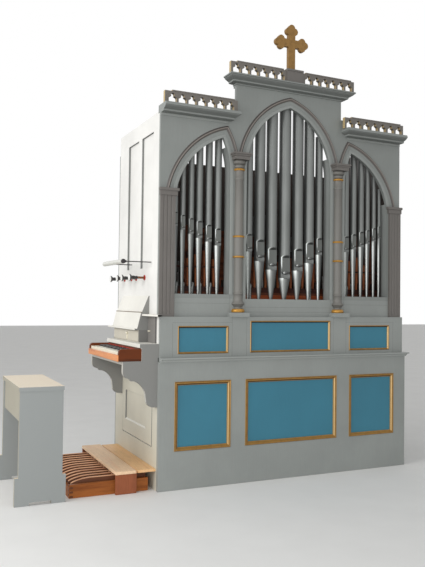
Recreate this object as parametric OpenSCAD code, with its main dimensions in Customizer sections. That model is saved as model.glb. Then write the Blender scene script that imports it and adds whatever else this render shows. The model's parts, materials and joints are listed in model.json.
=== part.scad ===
// Church pipe organ with a side console, bench and pedalboard.
// Millimetres. X runs along the front, Y runs back from it, Z is up.
// The origin is on the floor under the middle of the lower front board.

/* [Lower case] */
// Width of the lower case
case_w = 2050; // [1900:10:2300]
// Depth of the whole case
case_d = 978; // [850:1:1100]
// Thickness of the lower front board
front_t = 28; // [22:1:36]
// Thickness of the side boards
side_t = 22; // [18:1:28]
// Thickness of the back boards
back_t = 16; // [12:1:22]
// Height of the lower front board, up to the waist moulding
waist_z = 848; // [800:1:900]
// Height of the waist moulding
waist_h = 28; // [20:1:36]
// Reach of the waist moulding in front of the board
waist_out = 26; // [10:1:40]
// Lower edge of the lower panels
low_panel_z0 = 256; // [200:1:320]
// Upper edge of the lower panels
low_panel_z1 = 717; // [650:1:760]
// Inner edge of the lower side panels, from the middle
low_panel_in = 496; // [470:1:520]
// Board left outside the lower side panels
low_panel_margin = 112; // [90:1:140]
// Half width of the lower middle panel
low_panel_mid = 382; // [340:1:400]
// Width of the large gilt frames
gilt_w = 25; // [15:1:35]
// Width of the small gilt frames
gilt_small_w = 11; // [8:1:16]
// How far a gilt frame stands proud of its board
gilt_proud = 4; // [2:1:8]
// Thickness of a gilt frame
gilt_t = 14; // [10:1:16]
// Thickness of a blue panel
panel_t = 8; // [6:1:10]

/* [Band] */
// Setback of the band board behind the lower front
band_back = 21; // [10:1:30]
// Thickness of the band board
band_t = 22; // [22:1:28]
// Inset of the band and the upper case behind the lower case's sides
upper_inset = 9; // [4:1:14]
// Top of the band
band_z = 1150; // [1135:1:1170]
// Lower edge of the small panels
band_panel_z0 = 899; // [890:1:920]
// Upper edge of the small side panels
band_panel_z1 = 1087; // [1060:1:1100]
// Upper edge of the small middle panel
band_panel_mid_z1 = 1122; // [1100:1:1126]
// Inner edge of the small side panels, from the middle
band_panel_in = 509; // [490:1:530]
// Board left outside the small side panels
band_panel_margin = 129; // [110:1:150]
// Half width of the small middle panel
band_panel_mid = 337; // [310:1:350]
// Thickness of the shelf behind the band
deck_t = 22; // [16:1:26]

/* [Upper front] */
// Setback of the arched front board
facade_back = 60; // [56:1:70]
// Thickness of the arched front board
facade_t = 24; // [20:1:30]
// Depth of the linings behind the openings
lining_d = 36; // [20:1:45]
// Thickness of the linings
lining_t = 16; // [12:1:18]
// Half width of the middle opening
mid_hw = 358; // [330:1:362]
// Lower edge of the middle opening
mid_sill_z = 1277; // [1250:1:1290]
// Height at which the middle arch springs
mid_spring_z = 2200; // [2150:1:2230]
// Height of the middle opening's point
mid_apex_z = 2687; // [2640:1:2700]
// Inner edge of a side opening, from the middle
side_in = 488; // [482:1:500]
// Width of a pilaster, outside a side opening
pilaster_w = 109; // [100:1:120]
// Lower edge of the side openings
side_sill_z = 1306; // [1290:1:1330]
// Radius of both sweeps of a side arch
side_arch_r = 536; // [520:1:545]
// Height at which the outer sweep springs
side_spring_z = 1900; // [1880:1:1920]
// Height at which the inner sweep springs
inner_spring_z = 2163; // [2150:1:2175]
// Top of the wing fronts
wing_z = 2528; // [2520:1:2535]
// Top of the side boards
side_z = 2542; // [2530:1:2560]
// Half width of the raised middle
gable_hw = 449; // [445:1:450]
// Top of the raised middle
gable_z = 2783; // [2775:1:2790]
// Width of the moulding over the arches
hood_w = 26; // [18:1:30]
// Gap between an opening and the moulding over it
hood_gap = 50; // [44:1:54]
// How far the arch moulding stands proud
hood_t = 12; // [8:1:16]

/* [Cornices and balustrades] */
// Height of the wing cornices
wing_cornice_h = 55; // [50:1:60]
// Reach of the wing cornices in front of the arched board
wing_cornice_out = 96; // [80:1:100]
// Height of the middle cornice
mid_cornice_h = 77; // [70:1:82]
// Reach of the middle cornice in front of the arched board
mid_cornice_out = 80; // [70:1:84]
// How far the cornices run back behind the arched board's face
cornice_depth = 46; // [40:1:60]
// Setback of the balustrades behind the lower front
rail_back = 4; // [0:1:10]
// Thickness of the balustrade boards
rail_t = 28; // [24:1:30]
// Height of the balustrade boards
rail_h = 82; // [78:1:90]
// Height of the thin cap on the balustrades
rail_cap_h = 8; // [6:1:10]
// Inset of the balustrades' ends behind the cornices' ends
rail_inset = 6; // [2:1:12]
// Inner end of the left balustrade, from the raised middle's side
left_rail_gap = 16; // [12:1:24]
// How far the inner end of the right balustrade laps over the raised middle
right_rail_lap = 3; // [0:1:6]
// Spacing of the cut-outs, left and middle
rail_pitch = 72; // [70:1:76]
// Spacing of the cut-outs of the right balustrade
right_rail_pitch = 78; // [76:1:79]
// Width of a balustrade cut-out at its foot
cutout_w = 58; // [50:1:60]
// Half width of the cross pedestal
pedestal_hw = 69; // [62:1:74]
// Height of the cross pedestal
pedestal_h = 95; // [94:1:105]
// Height of the cross
cross_h = 352; // [320:1:380]
// Span of the cross arms
cross_span = 280; // [260:1:300]
// Width of the cross bars
cross_bar_w = 57; // [48:1:64]
// Thickness of the cross
cross_t = 28; // [20:1:34]

/* [Pilasters and columns] */
// Setback of the pilaster faces
pilaster_back = 43; // [43:1:46]
// Lower edge of the pilaster capitals
cap_z0 = 1968; // [1950:1:1980]
// Upper edge of the pilaster capitals
cap_z1 = 2018; // [2000:1:2030]
// Distance of a column from the middle
column_x = 422; // [418:1:425]
// Radius of the column shaft
column_r = 32; // [28:1:34]
// Height of the column block
block_h = 30; // [24:1:36]
// Width of the column block
block_w = 144; // [130:1:160]
// Setback of the column block
block_back = 1; // [0:1:8]
// Top of the column capital
abacus_z = 2303; // [2290:1:2310]
// Width of the column capital's top plate
abacus_w = 138; // [125:1:145]
// Height of the lower gilt ring
ring_1_z = 1572; // [1540:1:1600]
// Height of the middle gilt ring
ring_2_z = 1715; // [1680:1:1740]
// Height of the upper gilt ring
ring_3_z = 2189; // [2170:1:2195]
// Height of a gilt ring
ring_h = 19; // [16:1:22]
// How far a gilt ring stands out from the shaft
ring_out = 8; // [6:1:10]

/* [Front pipes] */
// Distance of the pipe axes behind the arched board
pipe_back = 72; // [70:1:78]
// Wall of a pipe
pipe_wall = 2; // [1.5:0.5:3]
// Top of the toe board that the pipes stand on
toe_z = 1240; // [1230:1:1250]
// Radius of a pipe foot's tip
tip_r = 7; // [5:1:9]
// Mouth height of the lowest mouth, above the toe board
mouth_low = 230; // [210:1:240]
// Rise of the mouths from one middle pipe to the next
mouth_step = 58; // [50:1:62]

/* [Inside] */
// Top of the wind chest
chest_z = 1325; // [1310:1:1340]
// Height of the wind chest
chest_h = 150; // [130:1:170]
// Depth of the wind chest
chest_d = 480; // [440:1:520]
// Room between the wind chest and the upper case's sides
chest_margin = 66; // [40:1:90]
// Height of the beams that carry the chest
beam_h = 70; // [50:1:90]
// Width of the beams that carry the chest
beam_w = 50; // [40:1:60]
// Top of the back boards
back_z = 2400; // [2300:1:2500]

/* [Console] */
// Near end of the keydesk, behind the lower front
desk_near = 32; // [28:1:36]
// Length of the keydesk
desk_l = 742; // [735:1:760]
// Underside of the keydesk
desk_z = 857; // [850:1:865]
// Reach of the keydesk from the lower case's side
desk_reach = 275; // [265:1:285]
// Depth of the console block behind the keydesk
console_block_reach = 112; // [105:1:118]
// Height of the keydesk cheeks
cheek_h = 81; // [76:1:86]
// Thickness of the keydesk cheeks
cheek_t = 22; // [20:1:24]
// Number of white keys
white_keys = 29; // [22:1:30]
// Height of the white keys' tops above the keydesk's underside
key_top = 61; // [56:1:64]
// Near end of the console cupboard, behind the lower front
cupboard_near = 236; // [232:1:240]
// Far end of the console cupboard
cupboard_far = 815; // [810:1:825]
// Reach of the console cupboard from the lower case's side
cupboard_reach = 65; // [59:1:71]
// Underside of the music ledge
music_z = 1052; // [1046:1:1058]
// Top of the sloping music board
music_top_z = 1173; // [1165:1:1180]
// Top of the steeper board above it
music_back_z = 1290; // [1250:1:1310]
// Thickness of the two console brackets
bracket_t = 28; // [24:1:34]
// Foot of the brackets
bracket_z0 = 550; // [520:1:580]
// Height of the stop knobs
stop_z = 1418; // [1400:1:1430]
// Length of a stop shank outside the case
stop_shank = 54; // [45:1:70]
// Radius of a stop shank
shank_r = 8; // [6:0.5:9]
// Radius of a stop knob's face
knob_r = 24; // [20:1:26]
// Play of a stop shank in its hole
shank_clearance = 1; // [0.5:0.1:1.5]
// Length of a stop shank inside the case
shank_inside = 70; // [60:1:120]
// Height of the lamp tube
lamp_z = 1524; // [1515:1:1540]
// Radius of the lamp tube
lamp_r = 17; // [14:1:20]

/* [Bench and pedals] */
// Near end of the bench
bench_near = 15; // [0:1:30]
// Length of the bench seat
bench_l = 715; // [700:1:780]
// Height of the bench
bench_h = 718; // [690:1:740]
// Reach of the bench from the lower case's side
bench_reach = 893; // [875:1:905]
// Width of the bench seat
bench_w = 275; // [260:1:300]
// Thickness of the bench boards
bench_t = 26; // [22:1:32]
// Near side of the pedalboard
pedal_near = 75; // [60:1:80]
// Spacing of the long pedals
pedal_pitch = 64; // [62:1:66]
// Number of long pedals
long_pedals = 12; // [8:1:12]
// Height of the pedals' tops
pedal_z = 112; // [104:1:120]
// Reach of the pedal frame from the lower case's side
pedal_reach = 565; // [545:1:585]
// Thickness of the pedal frame boards
pedal_rail_t = 24; // [20:1:28]
// Top of the plank over the pedals
cover_z = 147; // [144:1:154]
// Thickness of the plank over the pedals
cover_t = 20; // [16:1:20]
// Reach of the plank over the pedals from the lower case's side
cover_reach = 274; // [265:1:285]
// Width of the plank over the pedals
cover_w = 146; // [130:1:160]

/* [Hidden] */

// Shared fineness of round work, and of the large arches
$fn = 48;
arch_fn = 240;
// Cutting allowance past a face
eps = 1;

// Planes across the depth, all from the front of the lower front board
front_y = -front_t / 2;
back_y = front_y + case_d;
band_y = front_y + band_back;
facade_y = front_y + facade_back;
facade_rear_y = facade_y + facade_t;
pilaster_y = front_y + pilaster_back;
cornice_rear_y = facade_y + cornice_depth;
rail_y = front_y + rail_back;
// Share of the reach by which a wing cornice's inner end returns to the arched board
inner_return = 0.75;
wing_inner_x = gable_hw + 2 + inner_return * wing_cornice_out;
// Low shoulder of the arched board beside the raised middle
shoulder_w = 36;
shoulder_z = wing_z + wing_cornice_h + 72;
pipe_y = facade_y + pipe_back;

deck_z = waist_z + waist_h;
case_hw = case_w / 2;
upper_hw = case_hw - upper_inset;
inner_hw = upper_hw - side_t;
low_panel_out = case_hw - low_panel_margin;
band_panel_out = upper_hw - band_panel_margin;
side_out = upper_hw - pilaster_w;
chest_hw = upper_hw - chest_margin;
desk_x = case_hw + desk_reach;
desk_back_x = case_hw + console_block_reach;
cupboard_x = case_hw + cupboard_reach;
bench_x0 = case_hw + bench_reach;
pedal_x0 = case_hw + pedal_reach;
cover_x0 = case_hw + cover_reach;

PAINT = [0.62, 0.66, 0.63];
MAUVE = [0.60, 0.57, 0.55];
CREAM = [0.86, 0.84, 0.76];
BLUE = [0.25, 0.49, 0.58];
GOLD = [0.72, 0.55, 0.22];
TIN = [0.58, 0.60, 0.60];
BROWN = [0.48, 0.25, 0.14];
OAK = [0.72, 0.52, 0.35];
PINE = [0.86, 0.70, 0.50];
IVORY = [0.92, 0.90, 0.80];
BLACK = [0.08, 0.08, 0.08];

// Stand a drawing of (x, z) up, from y_front back by depth
module upright(y_front, depth) {
    translate([0, y_front + depth, 0])
        rotate([90, 0, 0])
            linear_extrude(depth)
                children();
}

// Lay a drawing of (y, z) across, from x_low along by length
module across(x_low, length) {
    translate([x_low, 0, 0])
        rotate([90, 0, 90])
            linear_extrude(length)
                children();
}

module both_sides() {
    children();
    mirror([1, 0, 0])
        children();
}

module block(low, high) {
    translate(low)
        cube(high - low);
}

// Rectangles [x0, x1, z0, z1] of the six panels
function lower_panels() = [
    [-low_panel_out, -low_panel_in, low_panel_z0, low_panel_z1],
    [-low_panel_mid, low_panel_mid, low_panel_z0, low_panel_z1],
    [low_panel_in, low_panel_out, low_panel_z0, low_panel_z1]
];
function band_panels() = [
    [-band_panel_out, -band_panel_in, band_panel_z0, band_panel_z1],
    [-band_panel_mid, band_panel_mid, band_panel_z0, band_panel_mid_z1],
    [band_panel_in, band_panel_out, band_panel_z0, band_panel_z1]
];

module panel_field(r, y, depth, inset = 0) {
    block([r[0] + inset, y, r[2] + inset], [r[1] - inset, y + depth, r[3] - inset]);
}

module lower_front() {
    color(PAINT)
        difference() {
            block([-case_hw, front_y, 0], [case_hw, front_y + front_t, waist_z]);
            for (r = lower_panels())
                panel_field(r, front_y - eps, front_t + 2 * eps);
        }
}

module blue_panels() {
    color(BLUE) {
        for (r = lower_panels())
            panel_field(r, front_y - gilt_proud + gilt_t, panel_t);
        for (r = band_panels())
            panel_field(r, band_y - gilt_proud + gilt_t, panel_t);
    }
}

// A mitred frame whose inner edge slopes down to the panel
module gilt_frame(r, y, w) {
    inner_w = w - 2 * gilt_proud;
    difference() {
        panel_field(r, y - gilt_proud, gilt_t);
        panel_field(r, y - gilt_proud - eps, gilt_t + 2 * eps, w);
        panel_field(r, y - gilt_proud - eps, gilt_proud + eps, inner_w);
    }
}

module gilt_frames() {
    color(GOLD) {
        for (r = lower_panels())
            gilt_frame(r, front_y, gilt_w);
        for (r = band_panels())
            gilt_frame(r, band_y, gilt_small_w + gilt_proud);
    }
}

hatch_y0 = front_y + 124;
hatch_y1 = front_y + 775;
hatch_z0 = 270;
hatch_z1 = 700;
hatch_gap = 1.5;
side_y0 = front_y + front_t;
side_y1 = back_y - back_t;

// Side board of the lower case, notched under the waist moulding
module lower_side() {
    across(-case_hw, side_t)
        polygon([
            [side_y0, 0], [side_y1, 0], [side_y1, deck_z], [band_y + band_t, deck_z],
            [band_y + band_t, waist_z], [side_y0, waist_z]
        ]);
}

module lower_left_side() {
    color(CREAM)
        difference() {
            lower_side();
            block([-case_hw - eps, hatch_y0, hatch_z0], [-case_hw + side_t + eps, hatch_y1, hatch_z1]);
        }
}

field_y0 = front_y + 261;
field_y1 = front_y + 713;
field_z0 = 369;
field_z1 = 587;
field_depth = 8;

module side_hatch() {
    color(CREAM)
        difference() {
            block([-case_hw, hatch_y0 + hatch_gap, hatch_z0],
                [-case_hw + side_t, hatch_y1 - hatch_gap, hatch_z1 - hatch_gap]);
            block([-case_hw - eps, field_y0, field_z0], [-case_hw + field_depth, field_y1, field_z1]);
        }
}

module lower_right_side() {
    color(PAINT)
        mirror([1, 0, 0])
            lower_side();
}

module back_boards() {
    color(PAINT) {
        block([-case_hw, side_y1, 0], [case_hw, back_y, deck_z]);
        block([-upper_hw, side_y1, deck_z], [upper_hw, back_y, back_z]);
    }
}

function arc_points(cx, cz, r, a0, a1, n) =
    [for (i = [0:n]) [cx + r * cos(a0 + (a1 - a0) * i / n), cz + r * sin(a0 + (a1 - a0) * i / n)]];

// Outlines from the foot up, as [reach, height]: steep middle cornice, flat wing cornices
function mid_cornice_profile(reach, h) = concat(
    [[0, 0], [0, 14], [5, 15], [5, 24], [36, 27], [40, 29], [40, 38], [44, 40]],
    [[52, 45], [62, 51], [70, 58], [74, 64], [reach, 66], [reach, h - 3], [reach - 4, h], [0, h]]
);
function wing_cornice_profile(reach, h) = [
    [0, 0], [40, 0], [52, 2], [52, 12], [56, 15], [66, 18], [78, 23], [86, 28], [90, 33], [reach, 34],
    [reach, 43], [reach - 6, h], [0, h]
];
function waist_profile(reach, h) = concat(
    [[0, 0], [reach * 0.3, 0]],
    arc_points(reach, h * 0.1, reach * 0.65, 180, 100, 4),
    [[reach, h * 0.7], [reach, h]]
);

// A moulding that runs along X with mitred returns at the chosen ends
module wrapped_moulding(x0, x1, y_front, y_rear, z0, profile, left, right) {
    top = profile[len(profile) - 1][1];
    intersection() {
        across(x0 - 200, x1 - x0 + 400)
            polygon(concat(
                [for (p = profile) [y_front - p[0], z0 + p[1]]],
                [[y_rear, z0 + top], [y_rear, z0]]
            ));
        upright(y_front - 200, y_rear - y_front + 400)
            polygon(concat(
                [for (p = profile) [x1 + right * p[0], z0 + p[1]]],
                [[x1, z0 + top], [x0, z0 + top]],
                [for (i = [len(profile) - 1:-1:0]) [x0 - left * profile[i][0], z0 + profile[i][1]]]
            ));
    }
}

module waist_moulding() {
    color(PAINT)
        wrapped_moulding(-upper_hw, case_hw, front_y, band_y + band_t, waist_z,
            waist_profile(waist_out, waist_h), 0, 1);
}

module band_board() {
    color(PAINT)
        difference() {
            block([-upper_hw, band_y, deck_z], [upper_hw, band_y + band_t, band_z]);
            for (r = band_panels())
                panel_field(r, band_y - eps, band_t + 2 * eps);
        }
}

module band_deck() {
    color(PAINT)
        block([-inner_hw, band_y + band_t, band_z - deck_t], [inner_hw, facade_rear_y, band_z]);
}

// Centre and radius of the middle arch's sweeps
function sweep_radius(hw, rise) = (hw * hw + rise * rise) / (2 * hw);
mid_r = sweep_radius(mid_hw, mid_apex_z - mid_spring_z);
mid_c = mid_r - mid_hw;

module middle_arch(grow) {
    intersection() {
        translate([-mid_c, mid_spring_z])
            circle(r = mid_r + grow, $fn = arch_fn);
        translate([mid_c, mid_spring_z])
            circle(r = mid_r + grow, $fn = arch_fn);
        translate([-gable_hw, mid_spring_z])
            square([2 * gable_hw, gable_z - mid_spring_z]);
    }
    translate([-mid_hw - grow, mid_sill_z])
        square([2 * (mid_hw + grow), mid_spring_z - mid_sill_z]);
}

side_c_out = side_out - side_arch_r;
side_c_in = side_in + side_arch_r;

// The right-hand side opening; its point lies near the column
module side_arch(grow) {
    intersection() {
        union() {
            translate([side_c_out, side_spring_z])
                circle(r = side_arch_r + grow, $fn = arch_fn);
            translate([side_c_out, side_sill_z])
                square([side_arch_r + grow, side_spring_z - side_sill_z]);
        }
        union() {
            translate([side_c_in, inner_spring_z])
                circle(r = side_arch_r + grow, $fn = arch_fn);
            translate([side_in - grow, side_sill_z])
                square([side_arch_r + grow, inner_spring_z - side_sill_z]);
        }
        translate([0, side_sill_z])
            square([upper_hw, wing_z - side_sill_z]);
    }
}

// The whole front with its three arches, as a drawing
module front_outline() {
    difference() {
        union() {
            translate([-upper_hw, band_z])
                square([2 * upper_hw, wing_z - band_z]);
            translate([-gable_hw, band_z])
                square([2 * gable_hw, gable_z - band_z]);
            translate([-wing_inner_x, band_z])
                square([2 * wing_inner_x, wing_z + wing_cornice_h - band_z]);
            translate([-gable_hw - shoulder_w, band_z])
                square([2 * (gable_hw + shoulder_w), shoulder_z - band_z]);
        }
        middle_arch(0);
        side_arch(0);
        mirror([1, 0])
            side_arch(0);
    }
}

module front_rail() {
    color(PAINT)
        block([-upper_hw, facade_y, band_z], [upper_hw, facade_rear_y, mid_sill_z]);
}

// Inner and outer upright beside each side opening, and the board between their feet
module front_stiles() {
    color(PAINT)
        both_sides() {
            block([mid_hw, facade_y, mid_sill_z], [side_in, facade_rear_y, mid_spring_z - 40]);
            block([side_in, facade_y, mid_sill_z], [side_out, facade_rear_y, side_sill_z]);
            block([side_out, facade_y, mid_sill_z], [upper_hw, facade_rear_y, side_spring_z]);
        }
}

module front_arches() {
    color(PAINT)
        upright(facade_y, facade_t)
            intersection() {
                front_outline();
                union() {
                    translate([-gable_hw, mid_spring_z - 40])
                        square([2 * gable_hw, gable_z]);
                    both_sides()
                        polygon([
                            [mid_hw, mid_spring_z - 40], [side_in + 40, mid_spring_z - 40],
                            [side_out - 40, side_spring_z], [upper_hw, side_spring_z],
                            [upper_hw, shoulder_z], [mid_hw, shoulder_z]
                        ]);
                }
            }
}

module opening_linings() {
    color(PAINT)
        both_sides() {
            block([mid_hw, facade_rear_y, mid_sill_z],
                [mid_hw + lining_t, facade_rear_y + lining_d, mid_spring_z]);
            block([side_in - lining_t, facade_rear_y, side_sill_z],
                [side_in, facade_rear_y + lining_d, inner_spring_z]);
            block([side_out, facade_rear_y, side_sill_z],
                [side_out + lining_t, facade_rear_y + lining_d, side_spring_z]);
        }
}

// Tall recessed panels of the left side: near and far edges, behind the lower front
tall_back = [[196, 438], [512, 748]];
tall_z0 = 1485;
tall_z1 = 2425;
tall_depth = 15;

module upper_side() {
    across(-upper_hw, side_t)
        polygon([
            [band_y + band_t, deck_z], [side_y1, deck_z], [side_y1, side_z], [cornice_rear_y, side_z],
            [cornice_rear_y, wing_z], [facade_rear_y, wing_z], [facade_rear_y, band_z],
            [band_y + band_t, band_z]
        ]);
}

// Setbacks of the stops behind the lower front
stop_back = [342, 524, 636, 803];
stop_y = [for (y = stop_back) front_y + y];

module upper_left_side() {
    color(CREAM)
        difference() {
            upper_side();
            for (y = stop_y)
                translate([-upper_hw - eps, y, stop_z])
                    rotate([0, 90, 0])
                        cylinder(r = shank_r + shank_clearance, h = side_t + 2 * eps);
            for (y = tall_back)
                block([-upper_hw - eps, front_y + y[0], tall_z0],
                    [-upper_hw + tall_depth, front_y + y[1], tall_z1]);
        }
}

module upper_right_side() {
    color(PAINT)
        mirror([1, 0, 0])
            upper_side();
}

flutes = 3;
flute_r = 7;

module pilasters() {
    color(MAUVE)
        both_sides() {
            difference() {
                block([side_out, pilaster_y, band_z], [upper_hw, facade_y, cap_z0]);
                for (i = [1:flutes])
                    translate([side_out + pilaster_w * i / (flutes + 1), pilaster_y - 2, band_z + 20])
                        cylinder(r = flute_r, h = cap_z0 - band_z);
            }
            block([side_out - 12, pilaster_y - 6, cap_z0], [upper_hw + 4, facade_y, cap_z1 - 18]);
            block([side_out - 22, pilaster_y - 13, cap_z1 - 18], [upper_hw + 8, facade_y, cap_z1]);
        }
}

module hood_side() {
    upright(facade_y - hood_t, hood_t)
        intersection() {
            difference() {
                side_arch(hood_gap + hood_w);
                side_arch(hood_gap);
            }
            union() {
                translate([column_x + 2, abacus_z])
                    square([side_c_in - side_arch_r, wing_z - abacus_z]);
                translate([side_c_in - side_arch_r + 20, cap_z1])
                    square([upper_hw, wing_z - cap_z1]);
            }
        }
}

module hood_middle() {
    upright(facade_y - hood_t, hood_t)
        intersection() {
            difference() {
                middle_arch(hood_gap + hood_w);
                middle_arch(hood_gap);
            }
            translate([-column_x + 1, abacus_z])
                square([2 * column_x - 2, gable_z - abacus_z]);
        }
}

module arch_mouldings() {
    color(MAUVE) {
        both_sides()
            hood_side();
        hood_middle();
    }
}

column_y = facade_y - 6;
column_z0 = band_z + block_h;
bell_z = ring_3_z + ring_h / 2;
block_low_z = abacus_z - 48;
// Outer radius of the column's foot, and the height of the ring round it
foot_r = 48;
foot_ring_h = 28;
drum_r = column_r + 4;

// Keep only what stands in front of the arched board
module in_front() {
    intersection() {
        children();
        block([-upper_hw, front_y - 100, 0], [upper_hw, facade_y, gable_z]);
    }
}

module column_blocks() {
    x = column_x + 4;
    color(PAINT)
        both_sides()
            block([x - block_w / 2, front_y + block_back, band_z],
                [x + block_w / 2, facade_y, column_z0]);
}

module column_shaft() {
    r = column_r;
    z = column_z0;
    translate([column_x, column_y, 0])
        rotate_extrude()
            polygon(concat(
                [[0, z], [r, z], [r, z + foot_ring_h], [r - 2, z + 36], [r, z + 46]],
                [[foot_r - 2, z + 60], [foot_r - 2, z + 66], [r + 1, z + 82]],
                [[r + 1, z + 128], [drum_r, z + 130], [drum_r, z + 139], [r, z + 141]],
                [[r, ring_1_z], [drum_r, ring_1_z], [drum_r, ring_2_z], [r, ring_2_z]],
                [[r - 1, bell_z - 75]],
                [[r + 2, bell_z - 70], [r - 1, bell_z - 65], [r - 1, bell_z + 8]],
                arc_points(r + 21, bell_z + 8, 22, 180, 110, 5),
                [[r + 13, block_low_z], [0, block_low_z]]
            ));
}

module columns() {
    color(MAUVE)
        both_sides()
            in_front()
                column_shaft();
}

// A rounded ring from z_low up, with its inner and outer radius
module ring(z_low, h, r, r_out) {
    translate([column_x, column_y, z_low])
        difference() {
            rotate_extrude()
                polygon([[0, 0], [r_out - 4, 0], [r_out, h * 0.3], [r_out, h * 0.55], [r_out - 3, h * 0.85],
                    [r_out - 5, h], [0, h]]);
            translate([0, 0, -eps])
                cylinder(r = r, h = h + 2 * eps);
        }
}

module column_rings() {
    color(GOLD)
        both_sides()
            in_front() {
                ring(column_z0, foot_ring_h, column_r, foot_r);
                for (z = [ring_1_z, ring_2_z])
                    ring(z - ring_h / 2, ring_h, drum_r, column_r + ring_out + 2);
                ring(ring_3_z - ring_h / 2, ring_h, column_r - 1, column_r + ring_out);
            }
}

module column_capitals() {
    color(MAUVE)
        both_sides()
            for (step = [[112, block_low_z, abacus_z - 24], [124, abacus_z - 24, abacus_z - 12],
                [abacus_w, abacus_z - 12, abacus_z]])
                block([column_x - step[0] / 2, facade_y - 10 - step[0] / 2, step[1]],
                    [column_x + step[0] / 2, facade_y, step[2]]);
}

// The inner ends return to the arched board in front of its shoulders
module wing_cornices() {
    color(PAINT)
        both_sides()
            difference() {
                wrapped_moulding(wing_inner_x, upper_hw, facade_y, cornice_rear_y, wing_z,
                    wing_cornice_profile(wing_cornice_out, wing_cornice_h), inner_return, 0);
                block([gable_hw - 100, facade_y, wing_z - eps],
                    [wing_inner_x, cornice_rear_y + eps, wing_z + wing_cornice_h + eps]);
            }
}

module middle_cornice() {
    color(PAINT)
        wrapped_moulding(-gable_hw, gable_hw, facade_y, cornice_rear_y, gable_z,
            mid_cornice_profile(mid_cornice_out, mid_cornice_h), 1, 1);
}

// A bottle-shaped cut-out whose foot is at z
module cutout(x, z) {
    w = cutout_w;
    neck = 11;
    bend_z = 28;
    neck_z = 42;
    head_z = 51;
    translate([x, z]) {
        polygon([
            [-w / 2, 0], [w / 2, 0], [w / 2, bend_z], [w / 2 - 3, bend_z + 6], [w / 2 - 9, neck_z - 3],
            [neck, neck_z], [neck, head_z], [-neck, head_z], [-neck, neck_z],
            [9 - w / 2, neck_z - 3], [3 - w / 2, bend_z + 6], [-w / 2, bend_z]
        ]);
        translate([0, head_z])
            circle(r = 13);
    }
}

rail_foot = 5;

// A balustrade board from x0 out to x1 on z0, with a cap that is set back at its ends
module balustrade(x0, x1, z0, pitch, cap_in, cap_out) {
    n = floor((x1 - x0 - 10) / pitch);
    first = (x0 + x1 - (n - 1) * pitch) / 2;
    upright(rail_y, rail_t)
        difference() {
            translate([x0, z0])
                square([x1 - x0, rail_h]);
            for (i = [0:n - 1])
                cutout(first + i * pitch, z0 + rail_foot);
        }
    block([x0 + cap_in, rail_y - 2, z0 + rail_h],
        [x1 - cap_out, rail_y + rail_t + 2, z0 + rail_h + rail_cap_h]);
}

module wing_balustrades() {
    z = wing_z + wing_cornice_h;
    color(MAUVE) {
        mirror([1, 0, 0])
            balustrade(gable_hw + left_rail_gap, upper_hw - rail_inset, z, rail_pitch, 25, 52);
        balustrade(gable_hw - right_rail_lap, upper_hw - rail_inset - 6, z, right_rail_pitch, 60, 27);
    }
}

module middle_balustrade() {
    z = gable_z + mid_cornice_h;
    color(MAUVE) {
        mirror([1, 0, 0])
            balustrade(pedestal_hw, gable_hw + mid_cornice_out - 8, z, rail_pitch, 25, 50);
        balustrade(pedestal_hw, gable_hw + mid_cornice_out - 2, z, rail_pitch, 25, 27);
    }
}

rail_base_z = gable_z + mid_cornice_h;
cross_z0 = rail_base_z + pedestal_h;
cross_y = front_y + 48;

module cross_pedestal() {
    color(MAUVE) {
        block([-pedestal_hw, front_y - 5, rail_base_z], [pedestal_hw, front_y + 83, cross_z0 - 14]);
        block([-pedestal_hw, front_y - 9, cross_z0 - 14], [pedestal_hw, front_y + 83, cross_z0]);
    }
}

// Three lobes at the end of an arm that points up
module trefoil() {
    lobe = cross_bar_w * 0.47;
    for (a = [0, 90, 180])
        rotate(a)
            translate([cross_bar_w * 0.42, 0])
                circle(r = lobe);
    square(cross_bar_w * 0.8, center = true);
}

module cross() {
    arm_z = cross_h - cross_span / 2;
    color(GOLD)
        translate([0, 0, cross_z0])
            upright(cross_y, cross_t)
                intersection() {
                    union() {
                        translate([-cross_bar_w / 2, 0])
                            square([cross_bar_w, cross_h - 40]);
                        translate([-cross_span / 2 + 40, arm_z - cross_bar_w / 2])
                            square([cross_span - 80, cross_bar_w]);
                        for (a = [0, 90, 270])
                            translate([0, arm_z])
                                rotate(a)
                                    translate([0, cross_span / 2 - cross_bar_w * 0.89])
                                        trefoil();
                    }
                    translate([-cross_span / 2, 0])
                        square([cross_span, cross_h]);
                }
}

// One flue pipe at x: radius, mouth height above the toe board and top
module flue_pipe(x, r, mouth, top) {
    w = pipe_wall;
    lip = r * 0.62;
    translate([x, pipe_y, toe_z]) {
        difference() {
            rotate_extrude()
                polygon([
                    [tip_r, 0], [r, mouth - 6], [r, top - toe_z], [r - w, top - toe_z], [r - w, mouth],
                    [0, mouth], [0, mouth - w], [r - w, mouth - 6 - w], [tip_r - w, 0]
                ]);
            block([-r * 0.72, -r - eps, mouth], [r * 0.72, -r * 0.45, mouth + lip * 0.6]);
        }
        intersection() {
            difference() {
                cylinder(r = r + 2, h = mouth + r * 3.4);
                translate([0, 0, -eps])
                    cylinder(r = r - w / 2, h = mouth + r * 3.4 + 2 * eps);
            }
            upright(-r - 4, r * 1.3) {
                translate([-r * 0.72, mouth + lip * 0.6])
                    square([r * 1.44, r * 1.8 - lip * 0.6]);
                translate([0, mouth + r * 1.8])
                    circle(r = r * 0.72);
            }
        }
    }
}

// Places and radii of the middle pipes as shares of the opening's half width, from the centre out
mid_pipe_place = [0, 0.313, 0.592, 0.841];
mid_pipe_size = [0.123, 0.118, 0.109, 0.079];
// Places and radii of the side pipes as shares of the opening's width, from the column out
side_pipe_place = [0.148, 0.320, 0.492, 0.640, 0.788, 0.914];
side_pipe_size = [0.062, 0.060, 0.060, 0.050, 0.045, 0.038];
side_opening_w = side_out - side_in;
// Mouth height of the side pipe beside the column, above the toe board, and the rise to the next
side_mouth = 434;
side_mouth_step = 23;
// How far the pipes run up behind the board
pipe_hidden = 40;

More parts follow.
